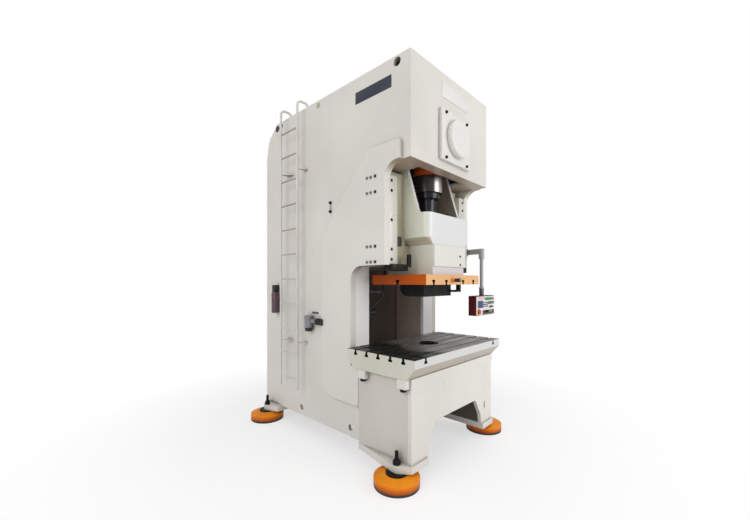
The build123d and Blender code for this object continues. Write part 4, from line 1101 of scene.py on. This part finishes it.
# plug on the slide plate's front: orange boss, black barrel and turned tip
platePlug = {
    "plugBoss": ("orangePaint", "orange_paint", [
        (0, 0.020), (0.012, 0.022), (0.028, 0.021), (0.036, 0.016),
    ]),
    "plugBarrel": ("blackPlastic", "black_steel", [
        (0.030, 0.017), (0.036, 0.019), (0.074, 0.019), (0.078, 0.021), (0.088, 0.021), (0.09, 0.017),
    ]),
    "plugTip": ("turned", "machined_steel", [(0.09, 0.012), (0.10, 0.012), (0.104, 0.009), (0.105, 0.004)]),
}
for name, (finish, slotName, outline) in platePlug.items():
    bm = bmesh.new()
    lathe(bm, outline, spot(-50, -15, 1797), (0, -1, 0))
    finishPiece(name, bm, finish, slotName, "slide")
print("slide plate plug made")


# conduit on the right liner's inner face, and the seam between its two panels
conduit = {"x": 477, "ss": (1456, 2140), "z": 1641, "radius": 0.015, "collar": 0.017}
near, far = conduit["ss"]
outline = [
    (0, 0.010), (0.004, conduit["collar"]), (0.05, conduit["collar"]), (0.052, conduit["radius"]),
    ((far - near) / 1000, conduit["radius"]),
]
bm = bmesh.new()
lathe(bm, outline, spot(conduit["x"], near, conduit["z"]), (0, 1, 0), 24)
finishPiece("conduit", bm, "panelSheet", "panel_sheet")
seam = {"xs": (493, 495), "half": 6, "zs": (200, 1930)}
bm = bmesh.new()
middle = linerShape["seam"]
steadyBox(bm, seam["xs"], (middle - seam["half"], middle + seam["half"]), seam["zs"], 0.0008)
finishPiece("linerSeam", bm, "blackSteel", "black_steel")
print("throat details made")


# floor; it shows white to the camera and keeps a soft shadow near the machine
studio = {"world": 0.58, "floorHalf": 30, "floor": (0.9, 0.9, 0.9), "near": (0.2, 0.6), "far": (0.38, 1.0)}
half = studio["floorHalf"]
corners = [(-half, -half, 0), (half, -half, 0), (half, half, 0), (-half, half, 0)]
floorMesh = bpy.data.meshes.new("floor")
floorMesh.from_pydata(corners, [], [(0, 1, 2, 3)])
floor = placed("floor", floorMesh)
f = Finish("floorFinish", Base_Color=studio["floor"], Roughness=0.9)
rays = f.add("ShaderNodeLightPath", out="Is Camera Ray")
shine = f.add("ShaderNodeLightPath", out="Is Glossy Ray")
glow = f.add("ShaderNodeEmission", None, {"Color": (1.0, 1.0, 1.0), "Strength": 1.0})
away = f.add("ShaderNodeVectorMath", {"operation": "LENGTH"}, {0: f.where}, out="Value")
share = (rays + shine) * f.ramp(away / 10, studio["near"], studio["far"])  # by distance in tens of metres
mixed = f.add("ShaderNodeMixShader", None, {0: share, 1: Wire(f, f.shader.outputs[0]), 2: glow})
f.tree.links.new(mixed.socket, f.tree.nodes["Material Output"].inputs["Surface"])
floorMesh.materials.append(f.material)

# world: white to the camera and through glass, plain grey light to everything else
world = bpy.data.worlds.new("studio")
bpy.context.scene.world = world
world.use_nodes = True
tree = world.node_tree
back = tree.nodes["Background"]
bright = tree.nodes.new("ShaderNodeBackground")
path = tree.nodes.new("ShaderNodeLightPath")
either = tree.nodes.new("ShaderNodeMath")
blendBack = tree.nodes.new("ShaderNodeMixShader")
either.operation = "MAXIMUM"
back.inputs["Strength"].default_value = studio["world"]
for sky in (back, bright):
    sky.inputs["Color"].default_value = (1, 1, 1, 1)
for source, target in (
    (path.outputs["Is Camera Ray"], either.inputs[0]),
    (path.outputs["Is Transmission Ray"], either.inputs[1]),
    (either.outputs[0], blendBack.inputs[0]), (back.outputs[0], blendBack.inputs[1]),
    (bright.outputs[0], blendBack.inputs[2]), (blendBack.outputs[0], tree.nodes["World Output"].inputs[0]),
):
    tree.links.new(source, target)

lamps = {  # place, aim, size in metres and power in watts
    "frontLamp": ((2.5, -8.5, 3.4), (0, -1, 1.6), 5.0, 290),
    "sideLamp": ((-8.0, -1.5, 5.0), (0, 0, 2), 5.0, 200),
    "topLamp": ((0, -1, 9.0), (0, 0, 1), 6.0, 160),
}
for name, (place, aim, size, power) in lamps.items():
    data = bpy.data.lights.new(name, "AREA")
    data.size = size
    data.energy = power
    lamp = placed(name, data)
    lamp.location = place
    lamp.rotation_euler = (Vector(aim) - Vector(place)).to_track_quat("-Z", "Y").to_euler()
print("studio made")
